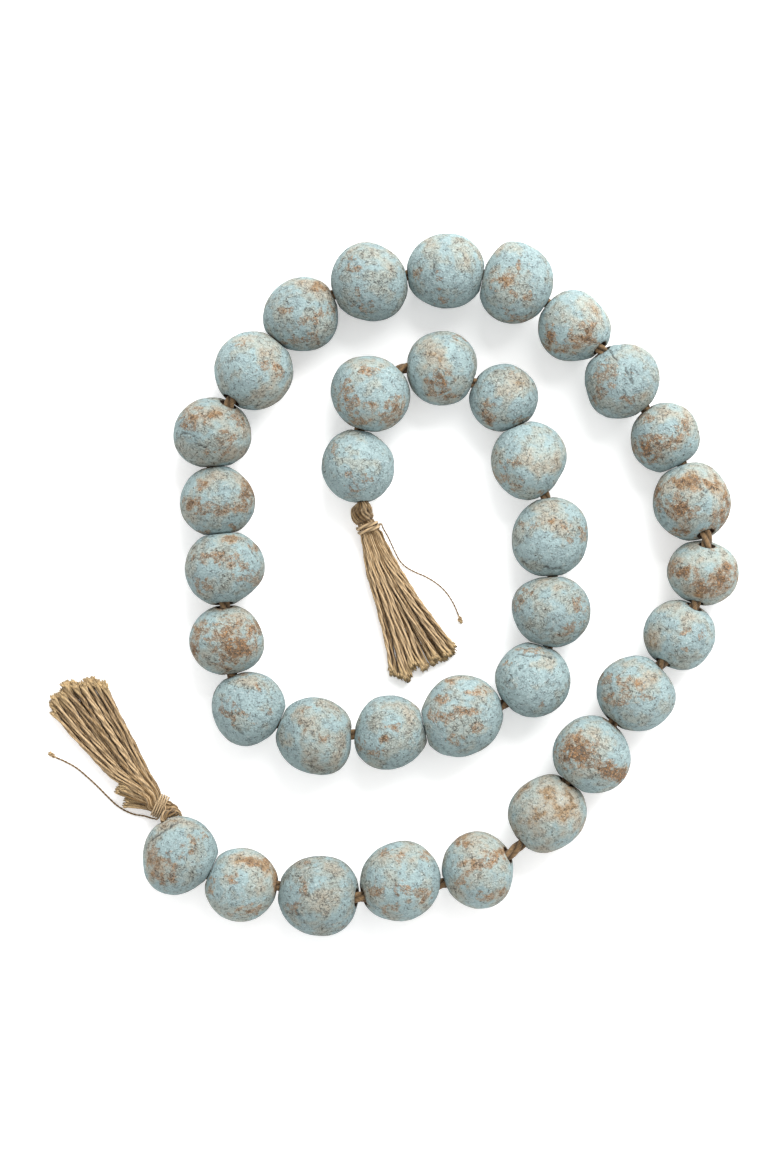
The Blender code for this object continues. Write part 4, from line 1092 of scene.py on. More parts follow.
def skirt_yarns(rows, skirt, ends, random):
    """Routes of a skirt's yarns, each with its layer from 0 to 1: through the neck in layers, then
    fanned out by the skirt's table and settled on the floor, layer on layer. Each drifts to a place of
    its own and waves a little."""
    headings = head_headings(rows)
    last = np.array(rows[-1])
    forward = unit((last[:3] - np.array(rows[-2][:3])) * (1.0, 1.0, 0.0))
    left = leftward(forward)
    bell = math.dist(rows[-1][:2], rows[-3][:2])
    skirt = np.array(skirt)
    ends = np.array(ends)
    part = np.linspace(0.0, 1.0, SKIRT_READINGS)
    end_height, end_waves, end_start = END_WAVES
    settled = smoothstep(0.0, 0.8, part)
    routes = []
    middle = (len(SKIRT_LAYERS) - 1) / 2
    for layer, count in enumerate(SKIRT_LAYERS):
        up = (layer - middle) / middle * NECK_RISE
        room = math.sqrt(1.0 - up ** 2) * NECK_ROOM
        for share in np.linspace(-1.0, 1.0, count):
            start = [section_point(row, heading, -share * room, up)
                     for row, heading in zip(rows[-4:-1], headings[-4:-1])]
            drift = (0.05 + 0.07 * layer) * (1.0 - share ** 4)
            arrival = share + random.uniform(-drift, drift)
            floor = YARN_LEVEL + layer * LAYER_STEP + random.uniform(-0.3, 0.5)
            end = float(np.interp(arrival, ends[:, 0], ends[:, 1])) + random.uniform(*END_RAGGED)
            end += end_height * math.sin(end_waves * arrival + end_start)
            distances = bell + (end - bell) * part
            far = np.interp(distances, skirt[:, 0], skirt[:, 1]) + EDGE_INSET
            near = np.interp(distances, skirt[:, 0], skirt[:, 2]) - EDGE_INSET
            spread = share * (room + (1.0 - room) * settled) + (arrival - share) * part
            lateral = far + (near - far) * (spread + 1.0) / 2
            length = random.uniform(*WAVE_LENGTH)
            wave = random.uniform(*WAVE_HEIGHT) * np.sin(distances / length + random.uniform(0, 6))
            ripple = random.uniform(*RIPPLE_HEIGHT)
            wave = wave + ripple * np.sin(distances / RIPPLE_LENGTH + random.uniform(0, 6))
            lateral = lateral + wave * settled * (1.0 - abs(share) ** 3)
            height = (last[2] + up * last[4]) * (1.0 - settled) + floor * settled
            fan = last[:3] * (1.0, 1.0, 0.0) + np.outer(distances - bell, forward) + np.outer(lateral, left)
            fan[:, 2] = np.maximum(height, YARN_LEVEL)
            routes.append((layer / (len(SKIRT_LAYERS) - 1), np.vstack((start, fan))))
    return routes


def add_skirt(strands, fray, rows, skirt, ends, settings, random):
    """Twisted yarns of a skirt, thinner and some darker near the neck, with their brushes of fibres. The
    darkening near the neck and the darker lower layers are painted shade among the crowded yarns.
    """
    for level, route in skirt_yarns(rows, skirt, ends, random):
        stations = smooth_route(route, 0.95)
        along = run_lengths(stations)
        radius = settings.yarn_radius / MM * random.uniform(*YARN_WIDTHS)
        radii = radius * (0.65 + 0.35 * smoothstep(2.0, 26.0, along))
        radii = radii * (1.0 + 0.07 * np.sin(along / 3.7 + random.uniform(0, 6)))
        radii, tips = brush_end(radii, along, 0.5)
        # Painted shade: lower layers darker under the yarns above, and some yarns darker near the neck where
        # they crowd
        shaded = max(random.uniform(*NECK_SHADE), 0.0)
        tone = random.uniform(-0.8, 0.8) + level * 0.5 - shaded * smoothstep(*SHADE_REACH, along)
        strands.add(stations, radii, settings.yarn_lay / MM * random.uniform(2.2, 4.5), ply_offset=0.42,
                    tone=tone, phase=random.uniform(0, TURN), tips=tips)
        heading = unit(stations[-1] - stations[-3])
        add_fray(fray, stations[-1], heading, radius * 1.3, random)


def ring_route(neck, turns, pitch, lean, radius, shift):
    """A thread wound round a neck from its underside: a circle carried along it, each turn leaning."""
    x, y, z, heading = neck
    forward = direction(heading)
    side = np.array((forward[1], -forward[0], 0.0))
    share = np.linspace(0.0, turns, int(turns * 40) + 1)
    angles = share * 2 * math.pi + math.radians(-90.0)
    along = (share - turns / 2) * pitch + lean * np.cos(angles) + shift
    route = np.array((x, y, z)) + np.outer(along, forward) + radius * np.outer(np.cos(angles), side)
    route[:, 2] += radius * np.sin(angles)
    return route


def knot_loop(knot, radius):
    """A trefoil lying flat: sin t + 2 sin 2t along it, cos t - 2 cos 2t across, 1 - sin 3t up."""
    x, y, half_length, half_width, heading = knot
    forward = direction(heading)
    turn = np.linspace(0.0, 2 * math.pi, KNOT_READINGS + 1)[:-1]
    along = (np.sin(turn) + 2 * np.sin(2 * turn)) / 3 * (half_length - radius)
    across = (np.cos(turn) - 2 * np.cos(2 * turn)) / 3 * (half_width - radius)
    lift = (1.0 - np.sin(3 * turn)) / 2 * radius * KNOT_LIFT + radius
    loop = np.array((x, y, 0.0)) + np.outer(along, forward) + np.outer(across, leftward(forward))
    loop[:, 2] += lift
    return loop


# Node groups and materials

def place(tree, kind, inputs=None, **settings):
    """Adds a node, sets it and fills its inputs with values or links."""
    node = tree.nodes.new(kind)
    for label, value in settings.items():
        setattr(node, label, value)
    for label, value in (inputs or {}).items():
        if isinstance(value, bpy.types.NodeSocket):
            tree.links.new(value, node.inputs[label])
        else:
            node.inputs[label].default_value = value
    return node


def math_node(tree, operation, first, second=0.5, clamp=False):
    node = place(tree, "ShaderNodeMath", {0: first, 1: second}, operation=operation, use_clamp=clamp)
    return node.outputs[0]


def noise(tree, where, size, detail):
    """Noise whose lumps measure about this many millimetres."""
    inputs = {"Vector": where, "Scale": 1.0 / (size * MM), "Detail": detail}
    return place(tree, "ShaderNodeTexNoise", inputs).outputs["Fac"]


def step_between(tree, value, low, high):
    """A soft step from 0 at low to 1 at high."""
    inputs = {"Value": value, "From Min": low, "From Max": high}
    return place(tree, "ShaderNodeMapRange", inputs, interpolation_type="SMOOTHSTEP").outputs["Result"]


def blend(tree, factor, first, second, mode="MIX"):
    node = place(tree, "ShaderNodeMix", {0: factor, 6: first, 7: second}, data_type="RGBA", blend_type=mode)
    return node.outputs[2]


def attribute(tree, label):
    return place(tree, "ShaderNodeAttribute", attribute_name=label).outputs["Fac"]


def colour(values):
    return (*values, 1.0)


def new_group(name, inputs, outputs):
    """A shader node group with these sockets, each a name, a socket type and a default."""
    tree = bpy.data.node_groups.new(name, "ShaderNodeTree")
    for label, kind, default in inputs:
        socket = tree.interface.new_socket(label, in_out="INPUT", socket_type=kind)
        if default is not None:
            socket.default_value = default
    for label, kind in outputs:
        tree.interface.new_socket(label, in_out="OUTPUT", socket_type=kind)
    return tree, tree.nodes.new("NodeGroupInput"), tree.nodes.new("NodeGroupOutput")


def squiggles_group():
    """Thin wandering lines where a noise passes through its middle value, kept to a soft area."""
    tree, given, made = new_group(
        "Squiggles",
        (("Vector", "NodeSocketVector", None), ("Cover", "NodeSocketFloat", 0.0),
         ("Size", "NodeSocketFloat", 2.0), ("Width", "NodeSocketFloat", 0.06)),
        (("Mask", "NodeSocketFloat"),),
    )
    scale = math_node(tree, "DIVIDE", 1.0 / MM, given.outputs["Size"])
    inputs = {"Vector": given.outputs["Vector"], "Scale": scale, "Detail": 2.5, "Distortion": 1.1}
    value = place(tree, "ShaderNodeTexNoise", inputs).outputs["Fac"]
    away = math_node(tree, "ABSOLUTE", math_node(tree, "SUBTRACT", value, 0.5))
    line = place(tree, "ShaderNodeMapRange",
                 {"Value": away, "From Min": given.outputs["Width"], "From Max": 0.0},
                 interpolation_type="SMOOTHSTEP").outputs["Result"]
    tree.links.new(math_node(tree, "MULTIPLY", line, given.outputs["Cover"]), made.inputs["Mask"])
    return tree


def fibres_group():
    """Fine fibres that run round a yarn along its lay: noise on a cylinder, drawn out along it."""
    tree, given, made = new_group(
        "Fibres",
        (("Lean", "NodeSocketFloat", 0.2), ("Fineness", "NodeSocketFloat", 5.0)),
        (("Shade", "NodeSocketFloat"), ("Height", "NodeSocketFloat")),
    )
    lay = place(tree, "ShaderNodeUVMap", uv_map="Lay").outputs[0]
    layout = place(tree, "ShaderNodeSeparateXYZ", {0: lay})
    lean = math_node(tree, "MULTIPLY", layout.outputs["Y"], given.outputs["Lean"])
    angle = math_node(tree, "MULTIPLY", math_node(tree, "ADD", layout.outputs["X"], lean), 2 * math.pi)
    wound = place(tree, "ShaderNodeCombineXYZ", {
        0: math_node(tree, "COSINE", angle),
        1: math_node(tree, "SINE", angle),
        2: math_node(tree, "MULTIPLY", layout.outputs["Y"], 0.16),
    })
    inputs = {"Vector": wound.outputs[0], "Scale": given.outputs["Fineness"], "Detail": 3.0}
    value = place(tree, "ShaderNodeTexNoise", inputs).outputs["Fac"]
    tree.links.new(step_between(tree, value, 0.3, 0.7), made.inputs["Shade"])
    tree.links.new(value, made.inputs["Height"])
    return tree


def squiggle(tree, group, where, cover, size, width):
    """The squiggles' mask at one size and width."""
    inputs = {"Vector": where, "Cover": cover, "Size": size, "Width": width}
    return place(tree, "ShaderNodeGroup", inputs, node_tree=group).outputs["Mask"]


def new_material(name, roughness):
    material = bpy.data.materials.new(name)
    material.use_nodes = True
    tree = material.node_tree
    shader = tree.nodes["Principled BSDF"]
    shader.inputs["Metallic"].default_value = 0.0
    shader.inputs["Roughness"].default_value = roughness
    shader.inputs["Specular IOR Level"].default_value = 0.25
    return material, tree, shader


def spread_noise(tree, where, size, detail):
    """Noise drawn out so that it runs from 0 to 1."""
    return step_between(tree, noise(tree, where, size, detail), 0.3, 0.7)


def weighted(tree, start, *terms):
    """A number plus some values, each times its own weight."""
    total = start
    for value, weight in terms:
        inputs = {0: value, 1: weight, 2: total}
        total = place(tree, "ShaderNodeMath", inputs, operation="MULTIPLY_ADD").outputs[0]
    return total


def shade(tree, base, level):
    """A colour times a level of grey."""
    grey = place(tree, "ShaderNodeCombineColor", {0: level, 1: level, 2: level}).outputs[0]
    return blend(tree, 1.0, base, grey, "MULTIPLY")


def faded(tree, base, mask, strength, over):
    """Lays a colour over another where a mask says, at this strength."""
    return blend(tree, math_node(tree, "MULTIPLY", mask, strength), base, over)


def washed_clay(settings, squiggles):
    """Terracotta under a chalky wash. One value says how far the wash has gone, from clear blue through
    grey and tan to bare clay. Clouds, mottle and grain move it everywhere, and chalk and wear move it
    most; the chalk bands along the upper side of many beads are painted highlight. Bare clay shows in
    ragged cores. Wandering lines of clay, and thinner dark ones, lie over the worn places. Cracks and the
    insides of the holes are painted dark as shade, the lower part of a bead is painted darker as shade,
    and each bead is made lighter or darker by its own amount."""
    material, tree, shader = new_material("Washed clay", 0.9)
    where = place(tree, "ShaderNodeTexCoord").outputs["Object"]
    worn = attribute(tree, "worn")
    cracked = attribute(tree, "cracked")
    clouds = spread_noise(tree, where, 11.0, 2.0)
    mottle = spread_noise(tree, where, 3.0, 3.0)
    grain = spread_noise(tree, where, 1.15, 2.0)
    fine = spread_noise(tree, where, 0.7, 1.0)

    ragged = spread_noise(tree, where, 4.0, 4.0)
    broken = math_node(tree, "MULTIPLY", worn, weighted(tree, 0.35, (ragged, 1.3)))
    cover = step_between(tree, broken, 0.12, 0.95)
    core = step_between(tree, weighted(tree, 0.0, (broken, 1.0), (mottle, 0.45), (grain, 0.3)), 1.42, 1.75)
    scattered = weighted(tree, 0.0, (broken, 1.0), (ragged, 0.35), (mottle, 0.2))
    sprinkled = step_between(tree, scattered, 0.62, 0.92)
    line = math_node(tree, "MAXIMUM", squiggle(tree, squiggles, where, sprinkled, 2.8, 0.075),
                     squiggle(tree, squiggles, where, sprinkled, 1.7, 0.07))

    # Chalk, and the painted highlight bands along the upper side of many beads
    chalk_and_highlight_cover = weighted(tree, 0.0, (attribute(tree, "chalk_and_highlight"), 0.8), (clouds, 0.3))
    chalk_and_highlight = step_between(tree, chalk_and_highlight_cover, 0.1, 1.1)
    gone = weighted(tree, -0.2, (clouds, 0.34), (mottle, 0.14), (grain, 0.04), (chalk_and_highlight, 0.28), (cover, 0.22),
                    (attribute(tree, "haze"), 1.0))
    bare = math_node(tree, "MULTIPLY", core, weighted(tree, 0.7, (fine, 0.3)))
    gone = math_node(tree, "MAXIMUM", gone, bare)

    base = blend(tree, spread_noise(tree, where, 6.0, 2.0), colour(settings.wash), colour(settings.deep_wash))
    clay = blend(tree, grain, colour(settings.dark_clay), colour(settings.clay))
    steps = (
        (0.0, 0.22, colour(settings.grey_haze)),
        (0.2, 0.42, colour(settings.chalk)),
        (0.42, 0.62, colour(settings.rust)),
        (0.66, 0.9, clay),
    )
    for low, high, over in steps:
        base = blend(tree, step_between(tree, gone, low, high), base, over)
    flecks = step_between(tree, noise(tree, where, 1.5, 2.0), 0.6, 0.7)
    base = faded(tree, base, flecks, 0.45, colour(settings.pale_wash))
    mark = faded(tree, colour(settings.dark_clay), mottle, 0.85, colour(settings.clay))
    base = faded(tree, base, line, 0.72, mark)
    dark_line = squiggle(tree, squiggles, where, sprinkled, 2.2, 0.03)
    base = faded(tree, base, dark_line, 0.65, colour(settings.dark_clay))
    specks_and_crack_shade = step_between(tree, noise(tree, where, 1.3, 1.0), 0.65, 0.7)
    mesh = squiggle(tree, squiggles, where, core, 1.6, 0.1)
    # Cracks take the dark speck colour: painted shade in them
    specks_and_crack_shade = math_node(tree, "MAXIMUM", math_node(tree, "MULTIPLY", specks_and_crack_shade, 0.7), cracked)
    specks_and_crack_shade = math_node(tree, "MAXIMUM", specks_and_crack_shade, math_node(tree, "MULTIPLY", mesh, 0.75))
    base = blend(tree, specks_and_crack_shade, base, colour(settings.speck_and_crack_shade))
    etching = squiggle(tree, squiggles, where, step_between(tree, mottle, 0.3, 0.9), 2.6, 0.07)
    scratches = squiggle(tree, squiggles, where, step_between(tree, clouds, 0.3, 0.9), 4.6, 0.045)
    # The lower part of each bead is painted darker here, as shade
    level = weighted(tree, 0.932, (grain, 0.18), (fine, 0.22), (etching, -0.5), (scratches, -0.42),
                     (line, -0.14), (attribute(tree, "painted_underside_shade"), -0.22), (attribute(tree, "light"), 1.0))
    base = shade(tree, base, level)
    # The insides of the holes: bare clay painted much darker, as shade
    base = blend(tree, attribute(tree, "inner"), base, colour(settings.hole))
    tree.links.new(base, shader.inputs["Base Color"])

    height = weighted(tree, 0.0, (fine, 0.25), (grain, 0.4), (mottle, 0.4), (bare, -0.35), (specks_and_crack_shade, -0.4),
                      (etching, -0.35), (scratches, -0.4))
    bump = place(tree, "ShaderNodeBump", {"Height": height, "Strength": 1.0, "Distance": 0.45 * MM})
    tree.links.new(bump.outputs[0], shader.inputs["Normal"])
    return material


def jute(name, light, dark, end, fibres, lean, fineness):
    """Twisted jute: fibres in two browns, a third at the cut ends, painted shade in the grooves between the
    plies, and a bump that follows the fibres.
    """
    material, tree, shader = new_material(name, 0.92)
    strand = place(tree, "ShaderNodeGroup", {"Lean": lean, "Fineness": fineness}, node_tree=fibres)
    tone = math_node(tree, "MULTIPLY", attribute(tree, "tone"), 0.45)
    mixed = math_node(tree, "MULTIPLY", strand.outputs["Shade"], 0.7)
    mixed = math_node(tree, "ADD", mixed, tone, True)
    base = blend(tree, mixed, colour(dark), colour(light))
    base = faded(tree, base, attribute(tree, "tip"), 0.65, colour(end))
    # The grooves between the plies are painted darker, as shade
    level = weighted(tree, 1.06, (attribute(tree, "groove_shade"), -0.68))
    tree.links.new(shade(tree, base, level), shader.inputs["Base Color"])
    bump = place(tree, "ShaderNodeBump", {"Height": strand.outputs["Height"], "Strength": 0.8,
                                          "Distance": 0.25 * MM})
    tree.links.new(bump.outputs[0], shader.inputs["Normal"])
    shader.inputs["Sheen Weight"].default_value = 0.15
    shader.inputs["Sheen Roughness"].default_value = 0.6
    return material


def shared(name, maker):
    """A material or node group that is made once and then found by its name."""
    found = bpy.data.materials.get(name) or bpy.data.node_groups.get(name)
    return found or maker()


def natural_jute(settings):
    fibres = shared("Fibres", fibres_group)
    name = "Natural jute yarn"
    browns = (settings.yarn_light, settings.yarn_dark, settings.yarn_end)
    return shared(name, lambda: jute(name, *browns, fibres, 0.12, 2.4))


# Settings

class GarlandBeads(bpy.types.PropertyGroup):
    """Shape and finish of the beads."""

    unevenness: bpy.props.FloatProperty(
        name="Unevenness", description="How rough the hand-rolled clay is", default=1.0, min=0.0, max=3.0)
    wash: bpy.props.FloatVectorProperty(
        name="Wash", description="The chalky blue over the clay", subtype="COLOR",
        default=(0.252, 0.331, 0.334))
    deep_wash: bpy.props.FloatVectorProperty(
        name="Deep wash", description="Where the wash is thickest", subtype="COLOR",
        default=(0.222, 0.29, 0.297))
    pale_wash: bpy.props.FloatVectorProperty(
        name="Pale wash", description="Dry flecks of the wash", subtype="COLOR",
        default=(0.43, 0.49, 0.485))
    grey_haze: bpy.props.FloatVectorProperty(
        name="Grey haze", description="Where the wash has thinned a little", subtype="COLOR",
        default=(0.276, 0.308, 0.28))
    # Also shows in the painted highlight bands along the upper side of many beads
    chalk: bpy.props.FloatVectorProperty(
        name="Chalk", description="Pale tan where it has thinned more", subtype="COLOR",
        default=(0.31, 0.294, 0.243))
    rust: bpy.props.FloatVectorProperty(
        name="Rust", description="Clay dust round the worn places", subtype="COLOR",
        default=(0.275, 0.197, 0.12))
    clay: bpy.props.FloatVectorProperty(
        name="Clay", description="Fired clay in the worn places", subtype="COLOR",
        default=(0.43, 0.238, 0.112))
    dark_clay: bpy.props.FloatVectorProperty(
        name="Dark clay", description="Darker clay in the worn places", subtype="COLOR",
        default=(0.13, 0.08, 0.048))
    # The dark of the specks and pits, and the painted shade in the cracks
    speck_and_crack_shade: bpy.props.FloatVectorProperty(
        name="Specks", description="Dark specks, cracks and pits", subtype="COLOR",
        default=(0.07, 0.078, 0.074))
    # Bare clay inside the holes, painted much darker as shade
    hole: bpy.props.FloatVectorProperty(
        name="Hole", description="Bare clay inside the holes", subtype="COLOR",
        default=(0.10, 0.062, 0.04))


class GarlandJute(bpy.types.PropertyGroup):
    """Yarns of the tassels and the cord."""

    yarn_radius: bpy.props.FloatProperty(
        name="Yarn radius", description="Radius of a tassel's yarn", unit="LENGTH", default=1.0 * MM)
    yarn_lay: bpy.props.FloatProperty(
        name="Yarn lay", description="Length of one turn of a yarn's two plies", unit="LENGTH",
        default=7.0 * MM)
    cord_lay: bpy.props.FloatProperty(
        name="Cord lay", description="Length of one turn of the cord's three strands", unit="LENGTH",
        default=26 * MM)
    yarn_light: bpy.props.FloatVectorProperty(
        name="Yarn light", description="The lightest fibres", subtype="COLOR",
        default=(0.6, 0.428, 0.243))
    yarn_dark: bpy.props.FloatVectorProperty(
        name="Yarn dark", description="The darkest fibres", subtype="COLOR",
        default=(0.185, 0.105, 0.036))
    yarn_end: bpy.props.FloatVectorProperty(
        name="Yarn end", description="The brushed cut ends", subtype="COLOR",
        default=(0.50, 0.36, 0.18))
    cord_light: bpy.props.FloatVectorProperty(
        name="Cord light", description="The cord's lighter fibres", subtype="COLOR",
        default=(0.25, 0.155, 0.075))
    cord_dark: bpy.props.FloatVectorProperty(
        name="Cord dark", description="The cord's darker fibres", subtype="COLOR",
        default=(0.075, 0.045, 0.02))


class GarlandStage(bpy.types.PropertyGroup):
    """Floor, light and camera."""

    floor: bpy.props.FloatVectorProperty(
        name="Floor", description="Colour of the floor", subtype="COLOR", default=(0.97, 0.97, 0.97))
    floor_glow: bpy.props.FloatProperty(
        name="Floor glow", description="Light that the floor gives off, to soften the shadows", default=0.3)
    lens: bpy.props.FloatProperty(
        name="Lens", description="Focal length of the camera", unit="CAMERA", default=85.0)
    height: bpy.props.FloatProperty(
        name="Camera height", description="Height of the camera over the floor", unit="LENGTH", default=1.456)
    key: bpy.props.FloatProperty(
        name="Key light", description="Power of the large soft light", unit="POWER", default=76.0)
    key_heading: bpy.props.FloatProperty(
        name="Key heading", description="Side that the key light comes from, seen from above",
        subtype="ANGLE", default=math.radians(66.0))
    key_rise: bpy.props.FloatProperty(
        name="Key rise", description="Angle of the key light over the floor", subtype="ANGLE",
        default=math.radians(38.0))
    sky: bpy.props.FloatProperty(
        name="Sky", description="Strength of the even light from all round", default=0.96)


def eye_place(context):
    """The camera's place in millimetres."""
    return np.array((CAMERA_SIDE, 0.0, context.scene.garland_stage.height / MM))


# Operators

class GARLAND_OT_stage(bpy.types.Operator):
    """Adds a pale floor, soft light from the upper right of the picture and a camera straight above"""

    bl_idname = "garland.stage"
    bl_label = "Stage"

    def execute(self, context):
        settings = context.scene.garland_stage
        mesh = bpy.data.meshes.new("floor")
        signs = ((-1, -1), (1, -1), (1, 1), (-1, 1))
        corners = [(across * FLOOR_REACH, up * FLOOR_REACH, FLOOR_LEVEL) for across, up in signs]
        mesh.from_pydata(corners, [], [(0, 1, 2, 3)])
        floor = bpy.data.objects.new("floor", mesh)
        context.scene.collection.objects.link(floor)
        material, tree, shader = new_material("Pale floor", 0.9)
        where = place(tree, "ShaderNodeTexCoord").outputs["Object"]
        size, share = FLOOR_TINT
        tint = blend(tree, noise(tree, where, size, 2.0), colour(settings.floor),
                     colour([value * share for value in settings.floor]))
        tree.links.new(tint, shader.inputs["Base Color"])
        shader.inputs["Emission Color"].default_value = colour(settings.floor)
        shader.inputs["Emission Strength"].default_value = settings.floor_glow
        mesh.materials.append(material)

        lamp = bpy.data.lights.new("Key", "AREA")
        lamp.shape = "DISK"
        lamp.size = LAMP_SIZE
        lamp.energy = settings.key
        key = bpy.data.objects.new("Key", lamp)
        level = KEY_DISTANCE * math.cos(settings.key_rise)
        key.location = (level * math.cos(settings.key_heading), level * math.sin(settings.key_heading),
                        KEY_DISTANCE * math.sin(settings.key_rise))
        key.rotation_euler = Vector(key.location).to_track_quat("Z", "Y").to_euler()
        context.scene.collection.objects.link(key)

        world = bpy.data.worlds.new("Even light")
        world.use_nodes = True
        sky = world.node_tree.nodes["Background"]
        sky.inputs["Color"].default_value = (1.0, 1.0, 1.0, 1.0)
        sky.inputs["Strength"].default_value = settings.sky
        context.scene.world = world
        context.scene.view_settings.view_transform = "Standard"

        camera = bpy.data.cameras.new("Camera")
        camera.lens = settings.lens
        camera.sensor_width = SENSOR_WIDTH
        camera.clip_end = CAMERA_REACH
        view = bpy.data.objects.new("Camera", camera)
        view.location = eye_place(context) * MM
        context.scene.collection.objects.link(view)
        context.scene.camera = view
        return {"FINISHED"}


class GARLAND_OT_tie_tails(bpy.types.Operator):
    """Lays the free end of each tassel's tie along the floor, with its knot"""

    bl_idname = "garland.tie_tails"
    bl_label = "Tie tails"

    def execute(self, context):
        material = natural_jute(context.scene.garland_jute)
        random = np.random.default_rng(7)
        for side, tail, radius, knot, fray in TIES:
            route = smooth_route(tail, 0.7)
            strands = Strands(YARN_SIDES)
            strands.add(route, radius, TAIL_LAY, ply_offset=0.25, tone=-0.4)
            piece = strands.finish("twisted_tail_" + side, material)
            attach(piece, "root")
            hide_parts("tie_tail_" + side)

            x, y, half_length, _, heading = knot
            forward = direction(heading)
            knotted = Strands(YARN_SIDES)
            knotted.add(knot_loop(knot, radius), radius * 1.05, TAIL_LAY, tone=0.3)
            middle = np.array((x, y, radius * 1.6))
            into = np.array((route[-1], (route[-1] + middle) / 2, middle))
            knotted.add(smooth_route(into, 0.4), radius * 1.05, TAIL_LAY, tone=0.5)
            tip = middle + forward * half_length * 0.7
            add_fray(knotted, tip, forward, radius * (1.0 + fray), random, 20, 0.9 + fray)
            end = knotted.finish("tied_knot_" + side, material)
            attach(end, "root")
            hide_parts("tie_knot_" + side)

        return {"FINISHED"}


class GARLAND_OT_beads(bpy.types.Operator):
    """Models the washed clay beads, pressed together along the strand"""

    bl_idname = "garland.beads"
    bl_label = "Washed clay beads"

    def execute(self, context):
        settings = context.scene.garland_beads
        squiggles = shared("Squiggles", squiggles_group)
        material = shared("Washed clay", lambda: washed_clay(settings, squiggles))
        eye = eye_place(context)
        for bead in plan_beads():
            make_bead(bead, settings, eye, material)
        return {"FINISHED"}


class GARLAND_OT_cord(bpy.types.Operator):
    """Lays up the brown three-strand cord through the beads"""

    bl_idname = "garland.cord"
    bl_label = "Jute cord"

    def execute(self, context):
        settings = context.scene.garland_jute
        fibres = shared("Fibres", fibres_group)
        name = "Brown jute cord"
        browns = (settings.cord_light, settings.cord_dark, settings.cord_light)
        material = shared(name, lambda: jute(name, *browns, fibres, 0.06, 4.5))
        strands = Strands(CORD_SIDES)
        strands.add(cord_route(plan_beads(), CORD_STEP), CORD_RADIUS, settings.cord_lay / MM, plies=3,
                    ply_offset=0.5)
        piece = strands.finish("laid_cord", material)
        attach(piece, "root")
        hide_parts("core_cord")
        return {"FINISHED"}


class GARLAND_OT_tassels(bpy.types.Operator):
    """Ties the two jute tassels: head yarns, fanned skirts and frayed ends"""

    bl_idname = "garland.tassels"
    bl_label = "Jute tassels"

    def execute(self, context):
        settings = context.scene.garland_jute
        material = natural_jute(settings)
        lay = settings.yarn_lay / MM
        for side, head, sections, yarns, lean, skirt, ends in TASSELS:
            random = np.random.default_rng(TASSEL_SEEDS[side])
            strands = Strands(YARN_SIDES)
            fray = Strands(FIBRE_SIDES)
            add_core(strands, head)
            add_head_yarns(strands, head[:sections], yarns, lean, random, lay * HEAD_LAY)
            add_skirt(strands, fray, head, skirt, ends, settings, random)
            if side == "outer":
                self.add_loops(strands, random, lay)
                self.add_stubs(strands, fray, random, lay)
            piece = strands.finish("yarn_tassel_" + side, material)
            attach(piece, "root")
            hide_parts("tassel_" + side)
            frayed = fray.finish("frayed_ends_" + side, material)
            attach(frayed, "root")
        return {"FINISHED"}

    def add_loops(self, strands, random, lay):
        """The outer tassel's yarns as they come down from the bead and loop back beside its head."""
        for route, spread, yarns in LOOPS:
            stations = smooth_route(route, 0.8)
            _, sides, rises = carried_axes(stations)
            for index in range(yarns):
                angle = index * 2 * math.pi / yarns + run_lengths(stations) / 7.0
                offset = sides * np.cos(angle)[:, None] + rises * np.sin(angle)[:, None]
                strands.add(stations + spread * offset, 0.9, lay * HEAD_LAY, ply_offset=0.42,
                            tone=random.uniform(-0.9, 0.8), phase=random.uniform(0, TURN))

    def add_stubs(self, strands, fray, random, lay):
        """Two short bundles of cut ends beside the outer tassel's skirt."""
        for row in STUBS:
            root = np.array(row[:3])
            end = np.array(row[3:])
            heading = unit(end - root)
            side = unit(np.cross(heading, (0.0, 0.0, 1.0)))
            for place_across, place_up in STUB_PLACES:
                offset = side * place_across + np.array((0.0, 0.0, place_up))
                reach = end + heading * random.uniform(-1.2, 1.2)
                middle = (root + reach) / 2 + offset * 0.85
                route = np.array((root + offset * 0.5, middle, reach + offset * 1.15))
                route[:, 2] = np.maximum(route[:, 2], 1.2)
                stations = smooth_route(route, 1.0)
                along = run_lengths(stations)
                radii, tips = brush_end(np.full(len(along), 1.0), along, 0.35)
                strands.add(stations, radii, lay * STUB_LAY, ply_offset=0.3, tone=random.uniform(-1.0, 0.5),
                            phase=random.uniform(0, TURN), tips=tips * 0.5)
                add_fray(fray, stations[-1], heading, 1.5, random)


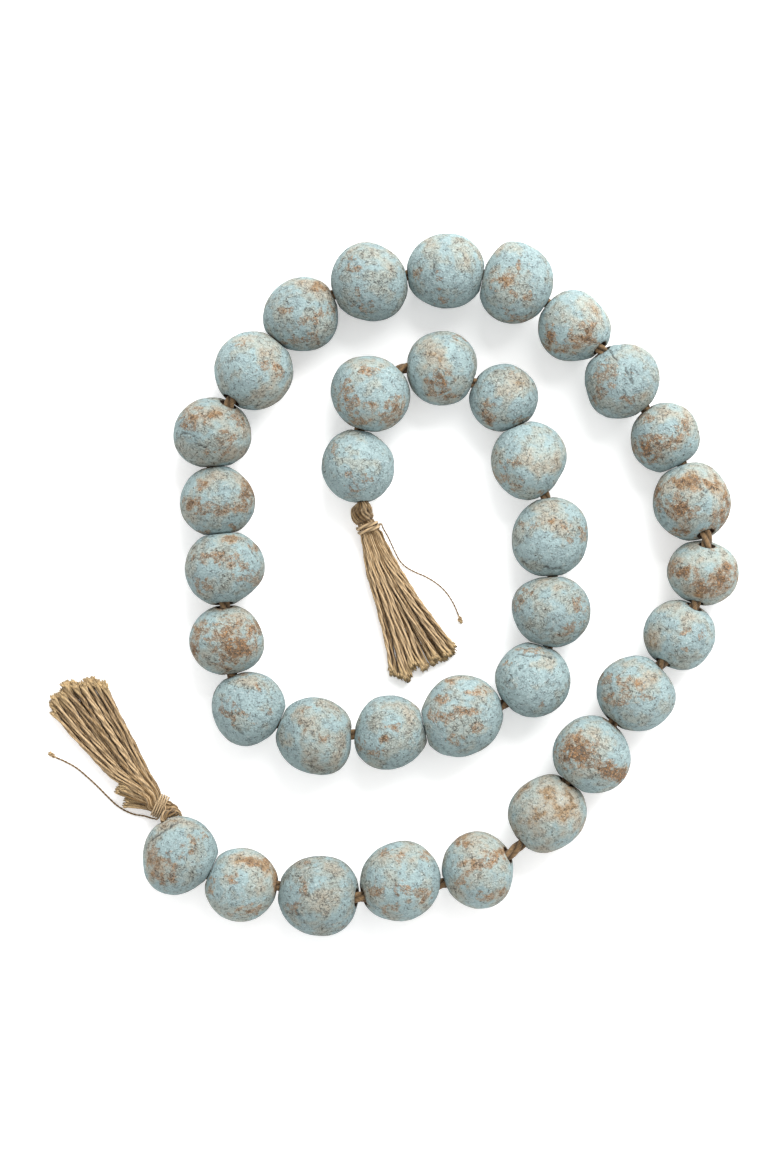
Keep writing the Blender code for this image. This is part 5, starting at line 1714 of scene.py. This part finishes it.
class GARLAND_OT_bindings(bpy.types.Operator):
    """Winds the thread round each tassel's neck"""

    bl_idname = "garland.bindings"
    bl_label = "Wrapped necks"

    def execute(self, context):
        settings = context.scene.garland_jute
        material = natural_jute(settings)
        lay = settings.yarn_lay / MM
        for side, neck, windings, lead, lead_end in BINDINGS:
            strands = Strands(THREAD_SIDES)
            for index, (turns, pitch, lean, shift, ring, radius) in enumerate(windings):
                route = ring_route(neck, turns, pitch, lean, ring, shift)
                route[:, 2] = np.maximum(route[:, 2], radius)
                strands.add(route, radius, lay * HEAD_LAY, ply_offset=0.34, tone=1.3 - 0.45 * (index % 2))
            stations = smooth_route(lead, 0.7)
            widths = np.linspace(windings[0][-1], lead_end, len(stations))
            strands.add(stations, widths, lay, tone=0.6)
            piece = strands.finish("wound_neck_" + side, material)
            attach(piece, "root")
            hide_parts("binding_" + side)
        return {"FINISHED"}


class GARLAND_PT_panel(bpy.types.Panel):
    """Lists the garland's settings and its steps"""

    bl_idname = "GARLAND_PT_panel"
    bl_label = "Ceramic Bead Garland"
    bl_space_type = "VIEW_3D"
    bl_region_type = "UI"
    bl_category = "Garland"

    def draw(self, context):
        layout = self.layout
        for group in (context.scene.garland_stage, context.scene.garland_beads, context.scene.garland_jute):
            box = layout.box()
            for label in group.__annotations__:
                box.prop(group, label)
        for operator in OPERATORS:
            layout.operator(operator.bl_idname)


OPERATORS = (
    GARLAND_OT_stage,
    GARLAND_OT_tie_tails,
    GARLAND_OT_beads,
    GARLAND_OT_cord,
    GARLAND_OT_tassels,
    GARLAND_OT_bindings,
)
SETTINGS = (
    ("garland_beads", GarlandBeads),
    ("garland_jute", GarlandJute),
    ("garland_stage", GarlandStage),
)


def register():
    for label, group in SETTINGS:
        bpy.utils.register_class(group)
        setattr(bpy.types.Scene, label, bpy.props.PointerProperty(type=group))
    for operator in OPERATORS:
        bpy.utils.register_class(operator)
    bpy.utils.register_class(GARLAND_PT_panel)


def unregister():
    bpy.utils.unregister_class(GARLAND_PT_panel)
    for operator in reversed(OPERATORS):
        bpy.utils.unregister_class(operator)
    for label, group in reversed(SETTINGS):
        delattr(bpy.types.Scene, label)
        bpy.utils.unregister_class(group)


def main():
    register()
    bpy.ops.garland.stage()
    bpy.ops.garland.tie_tails()
    bpy.ops.garland.beads()
    bpy.ops.garland.cord()
    bpy.ops.garland.tassels()
    bpy.ops.garland.bindings()


if __name__ == "__main__":
    main()
